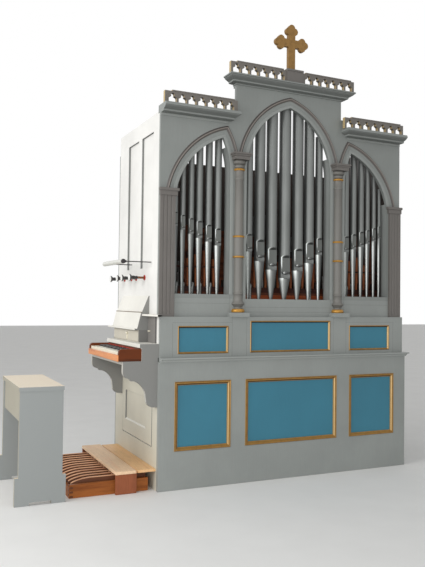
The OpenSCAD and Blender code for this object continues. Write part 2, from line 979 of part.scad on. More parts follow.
// Height of the middle arch's edge at x
function mid_arch_z(x) = mid_spring_z + sqrt(pow(mid_r, 2) - pow(mid_c + abs(x), 2));

module middle_pipes() {
    color(TIN)
        for (i = [-3:3]) {
            k = abs(i);
            x = round(mid_pipe_place[k] * mid_hw);
            r = round(mid_pipe_size[k] * mid_hw);
            flue_pipe(sign(i) * x, r, mouth_low + k * mouth_step, mid_arch_z(max(0, x - r)) + pipe_hidden);
        }
}

// Height of a side arch's edge at x, under its lower sweep
function side_arch_z(x) = min(
    side_spring_z + sqrt(pow(side_arch_r, 2) - pow(max(0, x - side_c_out), 2)),
    inner_spring_z + sqrt(pow(side_arch_r, 2) - pow(side_c_in - x, 2))
);

// Side pipes rise in pitch away from the column
module side_pipes() {
    for (i = [0:len(side_pipe_place) - 1]) {
        x = side_in + round(side_pipe_place[i] * side_opening_w);
        r = round(side_pipe_size[i] * side_opening_w);
        flue_pipe(x, r, side_mouth + i * side_mouth_step,
            max(side_arch_z(x - r), side_arch_z(x + r)) + pipe_hidden);
    }
}

module left_pipes() {
    color(TIN)
        mirror([1, 0, 0])
            side_pipes();
}

module right_pipes() {
    color(TIN)
        side_pipes();
}

chest_y0 = facade_rear_y + 108;
chest_y1 = chest_y0 + chest_d;
toe_t = 25;

module toe_board() {
    color(BROWN)
        block([-chest_hw, facade_rear_y, toe_z - toe_t], [chest_hw, chest_y0, toe_z]);
}

module wind_chest() {
    color(BROWN)
        block([-chest_hw, chest_y0, chest_z - chest_h], [chest_hw, chest_y1, chest_z]);
}

module chest_beams() {
    z1 = chest_z - chest_h;
    color(BROWN)
        for (y = [chest_y0 + 40, chest_y1 - 40 - beam_w])
            block([-inner_hw, y, z1 - beam_h], [inner_hw, y + beam_w, z1]);
}

wood_pipe_w = 46;
wood_pipe_count = 14;

module wooden_pipes() {
    pitch = 2 * (chest_hw - 80) / (wood_pipe_count - 1);
    color(BROWN)
        for (i = [0:wood_pipe_count - 1]) {
            x = -chest_hw + 80 + i * pitch;
            h = 300 + 14 * abs(i - wood_pipe_count / 2);
            translate([x, chest_y0 + 70, chest_z]) {
                cylinder(r1 = 8, r2 = 16, h = 90);
                translate([-wood_pipe_w / 2, -wood_pipe_w / 2, 90])
                    cube([wood_pipe_w, wood_pipe_w, h]);
            }
        }
}

module inner_metal_pipes() {
    color(TIN)
        for (row = [0:2])
            for (i = [0:17]) {
                x = -chest_hw + 70 + i * (2 * chest_hw - 140) / 17;
                r = 20 - row * 3 - abs(i - 9);
                h = 620 - row * 130 - 18 * abs(i - 9);
                translate([x, chest_y0 + 170 + row * 100, chest_z])
                    rotate_extrude()
                        polygon([[0, 0], [5, 0], [r, 150], [r, h], [0, h]]);
            }
}

desk_y0 = front_y + desk_near;
desk_y1 = desk_y0 + desk_l;
shelf_t = 22;
shelf_z = desk_z - shelf_t;
bracket_reach = 240;
// Far end of the shelf's bracket and of the console block
console_far = desk_y1 + 16;

// Ogee outline of a bracket, as (distance from the case side, height above its foot)
module bracket_outline() {
    h = shelf_z - bracket_z0;
    tip_r = 46;
    foot_r = 48;
    hollow_r = 108;
    polygon(concat(
        [[0, 0]],
        arc_points(30, 2 + foot_r, foot_r, -90, 0, 6),
        arc_points(82 + hollow_r, 72, hollow_r, 180, 92, 9),
        [[bracket_reach - tip_r, 192]],
        arc_points(bracket_reach - tip_r, 194 + tip_r, tip_r, -90, 0, 6),
        [[bracket_reach, h], [0, h]]
    ));
}

module console_brackets() {
    color(PAINT)
        for (y = [desk_y0 - 4, console_far])
            translate([-case_hw, y, bracket_z0])
                mirror([1, 0, 0])
                    upright(0, bracket_t)
                        bracket_outline();
}

module console_shelf() {
    color(PAINT)
        block([-case_hw - bracket_reach, desk_y0 - 4, shelf_z],
            [-case_hw, console_far + bracket_t, desk_z]);
}

bed_t = 23;
slip_h = 42;
slip_t = 12;

// Mahogany bed, front slip and two cheeks of the keyboard
module keydesk() {
    color(BROWN) {
        block([-desk_x, desk_y0, desk_z], [-desk_back_x, desk_y1, desk_z + bed_t]);
        block([-desk_x, desk_y0, desk_z], [-desk_x + slip_t, desk_y1, desk_z + slip_h]);
        for (y = [desk_y0, desk_y1 - cheek_t])
            translate([0, y, desk_z])
                upright(0, cheek_t)
                    polygon([[-desk_x + slip_t / 2, 0], [-desk_back_x, 0], [-desk_back_x, cheek_h],
                        [-desk_x + 20, cheek_h], [-desk_x + slip_t / 2, cheek_h - 14]]);
    }
}

key_gap = 1;
key_y0 = desk_y0 + cheek_t + 1;
key_pitch = (desk_l - 2 * cheek_t - 2) / white_keys;
key_x0 = -desk_x + slip_t + 2;
key_z1 = desk_z + key_top;

module white_keys_row() {
    color(IVORY)
        for (i = [0:white_keys - 1])
            block([key_x0, key_y0 + i * key_pitch, desk_z + bed_t],
                [-desk_back_x, key_y0 + (i + 1) * key_pitch - key_gap, key_z1]);
}

// Black keys stand between the white keys of each octave but for two gaps
function has_black(i) = let(step = i % 7) step != 2 && step != 6;

module black_keys_row() {
    color(BLACK)
        for (i = [0:white_keys - 2])
            if (has_black(i))
                block([key_x0 + 50, key_y0 + (i + 1) * key_pitch - 6, key_z1],
                    [-desk_back_x, key_y0 + (i + 1) * key_pitch + 5, key_z1 + 11]);
}

ledge_z0 = 944;
ledge_z1 = 969;

// Block behind the keys with a moulded ledge on top
module console_block() {
    color(PAINT) {
        block([-desk_back_x, desk_y0 - 4, desk_z], [-case_hw, console_far, ledge_z0]);
        block([-case_hw, desk_y0 - 4, deck_z], [-upper_hw, console_far, ledge_z0]);
        block([-desk_back_x - 14, desk_y0 - 4, ledge_z0], [-upper_hw, console_far + 10, ledge_z1]);
    }
}

module console_cupboard() {
    color(PAINT)
        block([-cupboard_x, front_y + cupboard_near, ledge_z1],
            [-upper_hw, front_y + cupboard_far, music_z]);
}

music_y0 = front_y + cupboard_near;
music_y1 = front_y + cupboard_far + 7;
ledge_t = 10;
// How far the music ledge runs past the cupboard, and stands out in front of it
ledge_past = 76;
ledge_out = 30;

// Ledge for the sheets, a sloping board on it and a steeper one above
module music_desk() {
    foot_x = cupboard_x + 12;
    top_x = cupboard_x - 15;
    color(CREAM) {
        block([-cupboard_x - ledge_out, music_y0, music_z],
            [-upper_hw, front_y + cupboard_far + ledge_past, music_z + ledge_t]);
        upright(music_y0, music_y1 - music_y0)
            polygon([
                [-upper_hw, music_z + ledge_t], [-foot_x, music_z + ledge_t], [-top_x, music_top_z],
                [-top_x + 6, music_top_z], [-top_x + 6, music_top_z + 4], [-upper_hw - 6, music_back_z],
                [-upper_hw, music_back_z]
            ]);
    }
}

rest_z = 1150;
rest_t = 13;

// Small shelf at the near corner on a narrow upright board
module near_music_rest() {
    color(PAINT) {
        translate([0, 0, rest_z])
            linear_extrude(rest_t)
                polygon([
                    [-upper_hw - 53, music_y0], [-upper_hw - 29, front_y - 15], [-upper_hw, front_y - 15],
                    [-upper_hw, music_y0]
                ]);
        block([-upper_hw - 12, front_y + 82, ledge_z1], [-upper_hw, front_y + 223, rest_z]);
    }
}

collar_t = 5;

module stop_collars() {
    color([0.62, 0.16, 0.12])
        for (y = stop_y)
            translate([-upper_hw - collar_t, y, stop_z])
                rotate([0, 90, 0])
                    difference() {
                        cylinder(r = 18, h = collar_t);
                        translate([0, 0, -eps])
                            cylinder(r = shank_r + shank_clearance, h = collar_t + 2 * eps);
                    }
}

// One stop: shank with a turned knob and a white face
module stop(y) {
    translate([-upper_hw, y, stop_z])
        rotate([0, -90, 0])
            rotate_extrude()
                polygon([
                    [0, -side_t - shank_inside], [shank_r, -side_t - shank_inside],
                    [shank_r, stop_shank], [shank_r + 5, stop_shank + 5], [shank_r + 2, stop_shank + 16],
                    [shank_r + 5, stop_shank + 28], [shank_r + 5, stop_shank + 38],
                    [knob_r, stop_shank + 54], [knob_r, stop_shank + 60], [0, stop_shank + 63]
                ]);
}

module stop_1() {
    color(BLACK)
        stop(stop_y[0]);
}

module stop_2() {
    color(BLACK)
        stop(stop_y[1]);
}

module stop_3() {
    color(BLACK)
        stop(stop_y[2]);
}

module stop_4() {
    color(BLACK)
        stop(stop_y[3]);
}

lamp_x = case_hw + 180;
lamp_y0 = front_y + 240;
lamp_y1 = front_y + 710;
rod_r = 4;

// Tubular lamp on two thin rods from the case side
module lamp() {
    color(IVORY)
        translate([-lamp_x, lamp_y0, lamp_z])
            rotate([-90, 0, 0])
                cylinder(r = lamp_r, h = lamp_y1 - lamp_y0);
    color(BLACK)
        for (y = [lamp_y0 + 12, lamp_y1 - 30])
            translate([-lamp_x, y, lamp_z])
                rotate([0, 90, 0])
                    cylinder(r = rod_r, h = lamp_x - upper_hw + tall_depth);
}

bench_y0 = front_y + bench_near;
bench_x1 = bench_x0 - bench_w;

module bench_seat() {
    color(CREAM)
        block([-bench_x0, bench_y0, bench_h - bench_t], [-bench_x1, bench_y0 + bench_l, bench_h]);
}

foot_h = 187;
foot_step = 22;

module bench_end() {
    z1 = bench_h - bench_t;
    upright(0, bench_t)
        difference() {
            union() {
                translate([-bench_x0 + 4, 0])
                    square([bench_w - 8, z1]);
                translate([-bench_x0 + 4 - foot_step, 0])
                    square([bench_w - 8 + 2 * foot_step, foot_h - 16]);
            }
            translate([-bench_x0 + 70, -eps])
                square([bench_w - 140, 18 + eps]);
        }
}

module bench_ends() {
    color(PAINT)
        for (y = [bench_y0 + 4, bench_y0 + bench_l - 4 - bench_t])
            translate([0, y, 0])
                bench_end();
}

apron_h = 190;

module bench_apron() {
    z1 = bench_h - bench_t;
    color(PAINT)
        block([-bench_x0 + 14, bench_y0 + 4 + bench_t, z1 - apron_h],
            [-bench_x0 + 14 + 20, bench_y0 + bench_l - 4 - bench_t, z1]);
}

pedal_y0 = front_y + pedal_near;
pedal_w = long_pedals * pedal_pitch;
pedal_y1 = pedal_y0 + pedal_w + 2 * pedal_rail_t;
pedal_x1 = case_hw + 40;
frame_h = 60;

// Two side rails and two cross rails under the pedals
module pedal_frame() {
    color(OAK) {
        for (y = [pedal_y0, pedal_y1 - pedal_rail_t])
            block([-pedal_x0, y, 0], [-pedal_x1, y + pedal_rail_t, frame_h + 24]);
        for (x = [-pedal_x0, -pedal_x1 - pedal_rail_t])
            block([x, pedal_y0 + pedal_rail_t, 0], [x + pedal_rail_t, pedal_y1 - pedal_rail_t, frame_h]);
    }
}

// Long pedal seen from the side, its heel end curved down
module long_pedal() {
    upright(0, 22)
        difference() {
            translate([-pedal_x0 + 20, frame_h])
                square([pedal_x0 - 20 - pedal_x1 - 4, pedal_z - frame_h]);
            translate([-pedal_x0 + 20, pedal_z - 30])
                difference() {
                    translate([-eps, 0])
                        square([120, 60]);
                    translate([120, -240])
                        circle(r = 270);
                }
        }
}

function pedal_y(i) = pedal_y0 + pedal_rail_t + (i + 0.5) * pedal_pitch;

module long_pedals_row() {
    color(OAK)
        for (i = [0:long_pedals - 1])
            translate([0, pedal_y(i) - 11, 0])
                long_pedal();
}

module short_pedals_row() {
    color(OAK)
        for (i = [0:long_pedals - 2])
            if (has_black(i))
                block([-cover_x0 + 6, pedal_y(i + 0.5) - 10, frame_h],
                    [-pedal_x1 - 8, pedal_y(i + 0.5) + 10, pedal_z + 10]);
}

// Plank over the pedals' rear ends on two board legs
module pedal_cover() {
    color(PINE) {
        block([-cover_x0, pedal_y0 - 40, cover_z - cover_t],
            [-cover_x0 + cover_w, pedal_y1 + 30, cover_z]);
        for (y = [pedal_y0 - 40, pedal_y1 + 8])
            block([-cover_x0, y, 0], [-cover_x0 + cover_w, y + 22, cover_z - cover_t]);
    }
}

module floor_board() {
    color(PINE)
        block([-cover_x0 + cover_w, pedal_y0 - 40, cover_z - cover_t],
            [-case_hw, pedal_y1 + 30, cover_z]);
}

lower_front();
blue_panels();
gilt_frames();
lower_left_side();
side_hatch();
lower_right_side();
back_boards();
waist_moulding();
band_board();
band_deck();
front_rail();
front_stiles();
front_arches();
opening_linings();
upper_left_side();
upper_right_side();
pilasters();
arch_mouldings();
column_blocks();
columns();
column_rings();
column_capitals();
wing_cornices();
middle_cornice();
wing_balustrades();
middle_balustrade();
cross_pedestal();
cross();
left_pipes();
middle_pipes();
right_pipes();
toe_board();
wind_chest();
chest_beams();
wooden_pipes();
inner_metal_pipes();
console_brackets();
console_shelf();
keydesk();
white_keys_row();
black_keys_row();
console_block();
console_cupboard();
music_desk();
near_music_rest();
stop_collars();
stop_1();
stop_2();
stop_3();
stop_4();
lamp();
bench_seat();
bench_ends();
bench_apron();
pedal_frame();
long_pedals_row();
short_pedals_row();
pedal_cover();
floor_board();
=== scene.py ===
"""Looks of a church pipe organ: paint, gilding, pipe metal, wood, and the pieces that dress the solids.

Metres throughout. X runs along the front, Y runs back from it, Z is up, and the floor is at Z 0.
"""

import json
import math

import bmesh
import bpy
from mathutils import Matrix, Vector


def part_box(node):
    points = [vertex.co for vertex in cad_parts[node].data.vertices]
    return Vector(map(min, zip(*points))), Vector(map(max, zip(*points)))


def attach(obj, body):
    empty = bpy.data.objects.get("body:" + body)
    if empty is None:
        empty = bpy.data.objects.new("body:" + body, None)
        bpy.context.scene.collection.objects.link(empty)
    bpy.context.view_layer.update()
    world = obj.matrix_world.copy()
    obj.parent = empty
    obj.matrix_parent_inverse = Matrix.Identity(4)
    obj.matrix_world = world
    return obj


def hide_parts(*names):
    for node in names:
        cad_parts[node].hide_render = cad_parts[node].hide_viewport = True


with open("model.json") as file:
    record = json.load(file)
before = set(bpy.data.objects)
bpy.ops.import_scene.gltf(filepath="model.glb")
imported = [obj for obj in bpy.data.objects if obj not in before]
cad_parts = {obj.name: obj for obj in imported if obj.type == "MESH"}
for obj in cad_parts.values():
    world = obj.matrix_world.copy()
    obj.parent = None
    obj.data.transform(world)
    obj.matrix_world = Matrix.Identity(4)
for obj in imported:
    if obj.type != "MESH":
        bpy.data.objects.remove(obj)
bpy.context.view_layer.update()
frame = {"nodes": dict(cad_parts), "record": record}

# Body that all pieces but the stops ride on
CASE = "case"
STOPS = (1, 2, 3, 4)

# Camera, solved from the case's corners in the photograph
CAMERA_AT = Vector((-2.6006, -4.2369, 1.2486))
CAMERA_YAW = math.radians(24.844)
CAMERA_PITCH = math.radians(1.597)
CAMERA_ROLL = math.radians(0.696)
IMAGE_H = 567
FOCAL_PX = 680
SENSOR_MM = 36

# Area lights as (name, place, what it points at, size, power), and the level of the light from all round
LIGHTS = [("key", (-6.0, -1.0, 3.0), (-0.8, 0.3, 1.4), (3.5, 3.5), 185),
          ("fill", (-2.9, -4.8, 1.2), (-0.6, 0, 0.9), (3.0, 2.0), 78)]
WORLD_LEVEL = 0.50

# Front faces of the boards and of the wind chest, and the line that the front pipes stand on
FRONT_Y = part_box("lower_front")[0][1]
BAND_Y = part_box("band_board")[0][1]
BOARD_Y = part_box("front_arches")[0][1]
CHEST_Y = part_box("wind_chest")[0][1]
PIPE_Y = 0.118

# Panels as (x0, x1, z0, z1)
LOWER_PANELS = [(-0.913, -0.496, 0.256, 0.717), (-0.382, 0.382, 0.256, 0.717), (0.496, 0.913, 0.256, 0.717)]
BAND_PANELS = [(-0.887, -0.509, 0.899, 1.087), (-0.337, 0.337, 0.899, 1.122), (0.509, 0.887, 0.899, 1.087)]

# Front pipes as (distance from the middle, radius), from the centre or the column out
MIDDLE_PIPES = [(0.0, 0.044), (0.112, 0.042), (0.212, 0.039), (0.301, 0.028)]
SIDE_PIPES = [(0.550, 0.026), (0.622, 0.025), (0.694, 0.025), (0.756, 0.021), (0.818, 0.019),
              (0.871, 0.016)]
TOE_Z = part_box("toe_board")[1][2]
# Height of the mouth of a group's first pipe, and its rise from one pipe to the next
MIDDLE_MOUTH = (1.470, 0.058)
SIDE_MOUTH = (1.674, 0.023)


# Materials

def shade(colour, factor=1.0):
    """A colour given as 0 to 255 values, as the linear values of a shader, darker or brighter by factor."""
    out = []
    for value in colour:
        value = value / 255
        value = value / 12.92 if value <= 0.04045 else ((value + 0.055) / 1.055) ** 2.4
        out.append(min(1.0, value * factor))
    return (*out, 1.0)


def feed(tree, socket, value):
    """Gives a node's input a value, or a link from another node's output."""
    if isinstance(value, bpy.types.NodeSocket):
        tree.links.new(value, socket)
    else:
        socket.default_value = value


def add_node(tree, kind, inputs, **settings):
    """A new node with its settings, and with values or links for its inputs."""
    node = tree.nodes.new("ShaderNode" + kind)
    for key, value in settings.items():
        setattr(node, key, value)
    for key, value in inputs.items():
        feed(tree, node.inputs[key], value)
    return node


class Shader:
    """A principled material whose nodes are added one by one."""

    def __init__(self, roughness=0.5, metallic=0.0, coat=0.0):
        self.material = bpy.data.materials.new("look")
        self.material.use_nodes = True
        self.tree = self.material.node_tree
        self.inputs = self.tree.nodes["Principled BSDF"].inputs
        for key, value in (("Roughness", roughness), ("Metallic", metallic), ("Coat Weight", coat)):
            self.inputs[key].default_value = value
        self.place = add_node(self.tree, "TexCoord", {}).outputs["Object"]

    def noise(self, scale, stretch=(1, 1, 1), detail=4.0, rough=0.55):
        mapping = add_node(self.tree, "Mapping", {"Vector": self.place, "Scale": stretch})
        node = add_node(self.tree, "TexNoise", {"Vector": mapping.outputs["Vector"], "Scale": scale,
                                                "Detail": detail, "Roughness": rough})
        return node.outputs["Fac"]

    def ramp(self, factor, stops):
        node = add_node(self.tree, "ValToRGB", {"Fac": factor})
        ramp = node.color_ramp
        while len(ramp.elements) < len(stops):
            ramp.elements.new(0.5)
        for element, (place, colour) in zip(ramp.elements, stops):
            element.position = place
            element.color = colour
        return node.outputs["Color"]

    def mix(self, factor, first, second, blend="MIX"):
        node = add_node(self.tree, "Mix", {"Factor": factor}, data_type="RGBA", blend_type=blend)
        colours = [socket for socket in node.inputs if socket.type == "RGBA"]
        for socket, value in zip(colours, (first, second)):
            feed(self.tree, socket, value)
        return [socket for socket in node.outputs if socket.type == "RGBA"][0]

    def facing(self, direction, low=0.4, high=0.6):
        """0 to 1 as the surface turns to face that direction."""
        normal = add_node(self.tree, "NewGeometry", {}).outputs["Normal"]
        dot = add_node(self.tree, "VectorMath", {0: normal, 1: direction}, operation="DOT_PRODUCT")
        node = add_node(self.tree, "MapRange", {"Value": dot.outputs["Value"], "From Min": low,
                                                "From Max": high})
        return node.outputs["Result"]

    def colour(self, source):
        self.tree.links.new(source, self.inputs["Base Color"])

    def roughness(self, factor, low, high):
        node = add_node(self.tree, "MapRange", {"Value": factor, "To Min": low, "To Max": high})
        self.tree.links.new(node.outputs["Result"], self.inputs["Roughness"])

    def bump(self, height, strength, distance):
        node = add_node(self.tree, "Bump", {"Height": height, "Strength": strength, "Distance": distance})
        self.tree.links.new(node.outputs["Normal"], self.inputs["Normal"])


RAW_WOOD = (52, 38, 30)
TO_RIGHT = (1, 0, 0)
TO_LEFT = (-1, 0, 0)
TO_FRONT = (0, -1, 0)
TO_BACK = (0, 1, 0)
TO_TOP = (0, 0, 1)
TO_FLOOR = (0, 0, -1)
# Stretches that leave noise long one way
ALONG_X = (0.06, 1, 1)
ALONG_Y = (1, 0.06, 1)
ALONG_Z = (1, 1, 0.06)


def paint(colour, wear=0.07, inside=None, lit_cut_edge=None, front=None, top=None, turn=(0.5, 0.8), underside_shade=0.55):
    """Brushed house paint: slow blotches, faint brush marks, and painted shade on the undersides.

    Faces that look the way of inside are bare dark wood, and faces that look neither forward nor back
    take the cut-edge colour: partly the bare cut wood, partly painted sunlight. Faces to the front take
    the front colour and level faces take the top colour, as painted light and shade; turn says how far
    they have to face it. Undersides are darkened by the underside factor, as painted shade."""
    shader = Shader()
    blotch = shader.noise(2.5, detail=5.0)
    marks = shader.noise(160.0, ALONG_Z, detail=3.0)
    base = shader.ramp(blotch, [(0.35, shade(colour, 1 - wear)), (0.65, shade(colour, 1 + wear * 0.6))])
    streaks = shader.ramp(marks, [(0.3, (0.93, 0.93, 0.93, 1)), (0.7, (1.0, 1.0, 1.0, 1))])
    result = shader.mix(0.6, base, streaks, "MULTIPLY")
    # Cut faces take a lighter, warmer colour: partly the bare cut wood, partly painted sunlight
    if lit_cut_edge:
        forward = shader.facing(TO_FRONT, 0.5, 0.7)
        rearward = shader.facing(TO_BACK, 0.5, 0.7)
        both = add_node(shader.tree, "Math", {0: forward, 1: rearward}, operation="MAXIMUM")
        result = shader.mix(both.outputs[0], shade(lit_cut_edge), result)
    # Faces to the front and level faces take their own colours, as painted light and shade
    if front:
        result = shader.mix(shader.facing(TO_FRONT, *turn), result, shade(front))
    if top:
        result = shader.mix(shader.facing(TO_TOP, *turn), result, shade(top))
    # Undersides darkened towards a dimmer front colour, as painted shade
    result = shader.mix(shader.facing(TO_FLOOR, 0.2, 0.8), result, shade(front or colour, underside_shade))
    if inside:
        grain = shader.noise(30.0, ALONG_Z, detail=5.0)
        bare = shader.ramp(grain, [(0.3, shade(RAW_WOOD, 0.6)), (0.7, shade(RAW_WOOD))])
        result = shader.mix(shader.facing(inside), result, bare)
    shader.colour(result)
    shader.roughness(marks, 0.44, 0.58)
    shader.bump(marks, 0.12, 0.0006)
    return shader.material


def wood(light, dark, along, rough=0.45, coat=0.0, scale=28.0, shaded_sides=None):
    """Wood whose grain runs along the axis that the stretch leaves long. The sides colour paints shade on
    what isn't a top.
    """
    shader = Shader(rough, coat=coat)
    shader.inputs["Specular IOR Level"].default_value = 0.2
    rings = shader.noise(scale, along, detail=6.0, rough=0.62)
    pores = shader.noise(scale * 14, along, detail=2.0)
    base = shader.ramp(rings, [(0.32, shade(dark)), (0.5, shade(light, 0.9)), (0.68, shade(light))])
    if shaded_sides:
        base = shader.mix(shader.facing(TO_TOP, 0.3, 0.8), shade(shaded_sides), base)
    fine = shader.ramp(pores, [(0.38, (0.82, 0.80, 0.78, 1)), (0.55, (1.0, 1.0, 1.0, 1))])
    shader.colour(shader.mix(0.7, base, fine, "MULTIPLY"))
    shader.roughness(rings, rough - 0.05, rough + 0.1)
    shader.bump(pores, 0.2, 0.0004)
    return shader.material


# Painted highlight and shade round a pipe, as brightness from its left edge to its right one
PIPE_PAINTED_LIGHT = [(0.0, 0.34), (0.16, 0.42), (0.34, 0.86), (0.52, 1.16), (0.72, 1.06), (0.90, 0.80), (1.0, 0.62)]
FOOT_PAINTED_LIGHT = [(0.0, 0.50), (0.14, 1.1), (0.23, 3.1), (0.35, 3.1), (0.46, 1.35), (0.75, 0.75), (1.0, 0.34)]
SLIM_FOOT_PAINTED_LIGHT = [(0.0, 0.8), (0.12, 1.4), (0.21, 4.8), (0.37, 4.8), (0.50, 1.3), (0.75, 0.60), (1.0, 0.30)]
BALL_PAINTED_LIGHT = [(0.0, 0.9), (0.28, 1.5), (0.36, 3.4), (0.46, 3.4), (0.56, 0.9), (0.75, 0.4), (1.0, 0.16)]
# The way along which the light falls off round a pipe
ROUND = (0.858, -0.513, 0)


def pipe_metal(colour, rough, metallic, body=PIPE_PAINTED_LIGHT, foot=FOOT_PAINTED_LIGHT, slim_foot=SLIM_FOOT_PAINTED_LIGHT):
    """Planed tin and lead: lengthwise streaks, cloudy patches, and bands of painted highlight and shade
    round a tube.

    Body gives the painted bands of upright faces, slim_foot of faces that look down a little, foot of the
    rest;
    faces that look well down are darkened as painted shade."""
    shader = Shader(rough, metallic)
    cloud = shader.noise(7.0, (1, 1, 0.4), detail=4.0)
    streak = shader.noise(240.0, (1, 1, 0.02), detail=2.0)
    base = shader.ramp(cloud, [(0.3, shade(colour, 0.86)), (0.7, shade(colour, 1.08))])
    lines = shader.ramp(streak, [(0.35, (0.9, 0.9, 0.9, 1)), (0.65, (1, 1, 1, 1))])
    result = shader.mix(0.5, base, lines, "MULTIPLY")
    across = shader.facing(ROUND, -1.0, 1.0)

    def bands(levels):
        return shader.ramp(across, [(place, (level, level, level, 1)) for place, level in levels])

    # Bands of painted highlight and shade round the tube, with their own bands for the feet
    shine = shader.mix(shader.facing(TO_FLOOR, 0.008, 0.016), bands(body), bands(slim_foot))
    shine = shader.mix(shader.facing(TO_FLOOR, 0.08, 0.14), shine, bands(foot))
    result = shader.mix(1.0, result, shine, "MULTIPLY")
    # Faces that look well down darkened, as painted shade
    shader.colour(shader.mix(shader.facing(TO_FLOOR, 0.35, 0.6), result, shade(colour, 0.16)))
    shader.roughness(cloud, rough - 0.06, rough + 0.1)
    shader.bump(streak, 0.05, 0.0003)
    return shader.material


def gilding(colour, shadow=None, painted_highlight=None):
    """Gold paint, rubbed brown in places, with painted shade in the shadow colour on what looks right or down
    and a painted highlight in the last colour on what looks left.
    """
    shader = Shader(0.40, 0.45)
    worn = shader.noise(35.0, detail=6.0)
    result = shader.ramp(worn, [(0.3, shade(colour, 0.8)), (0.48, shade(colour)),
                                (0.75, shade(colour, 1.15))])
    if shadow:
        for direction in (TO_RIGHT, TO_FLOOR):
            result = shader.mix(shader.facing(direction, 0.15, 0.6), result, shade(shadow))
        result = shader.mix(shader.facing(TO_LEFT, 0.3, 0.8), result, shade(painted_highlight))
    shader.colour(result)
    shader.roughness(worn, 0.5, 0.34)
    shader.bump(worn, 0.15, 0.0005)
    return shader.material


def smooth_plastic(colour, rough=0.3, coat=0.3):
    """Polished plastic, ivory or enamel with a faint cloudiness."""
    shader = Shader(rough, coat=coat)
    cloud = shader.noise(30.0, detail=4.0)
    shader.colour(shader.ramp(cloud, [(0.3, shade(colour, 0.93)), (0.7, shade(colour, 1.04))]))
    shader.roughness(cloud, rough - 0.05, rough + 0.08)
    return shader.material


def felt(colour):
    """Felt with fine fibres."""
    shader = Shader(0.95)
    fibres = shader.noise(900.0, detail=3.0)
    shader.colour(shader.ramp(fibres, [(0.3, shade(colour, 0.6)), (0.7, shade(colour, 1.3))]))
    shader.bump(fibres, 0.6, 0.0008)
    return shader.material


FRONT_COLOUR = (147, 151, 148)
# The upper boards' paint a little darker than the front below, as painted shade where the light falls off
# towards the top
UPPER_SHADED_COLOUR = (138, 142, 139)
SHADED = (120, 122, 120)
CONSOLE_SHADED = (130, 130, 127)
# The case paint as it looks in sunlight: painted light for the sunlit side and the console
SUNLIT_CREAM = (232, 230, 222)

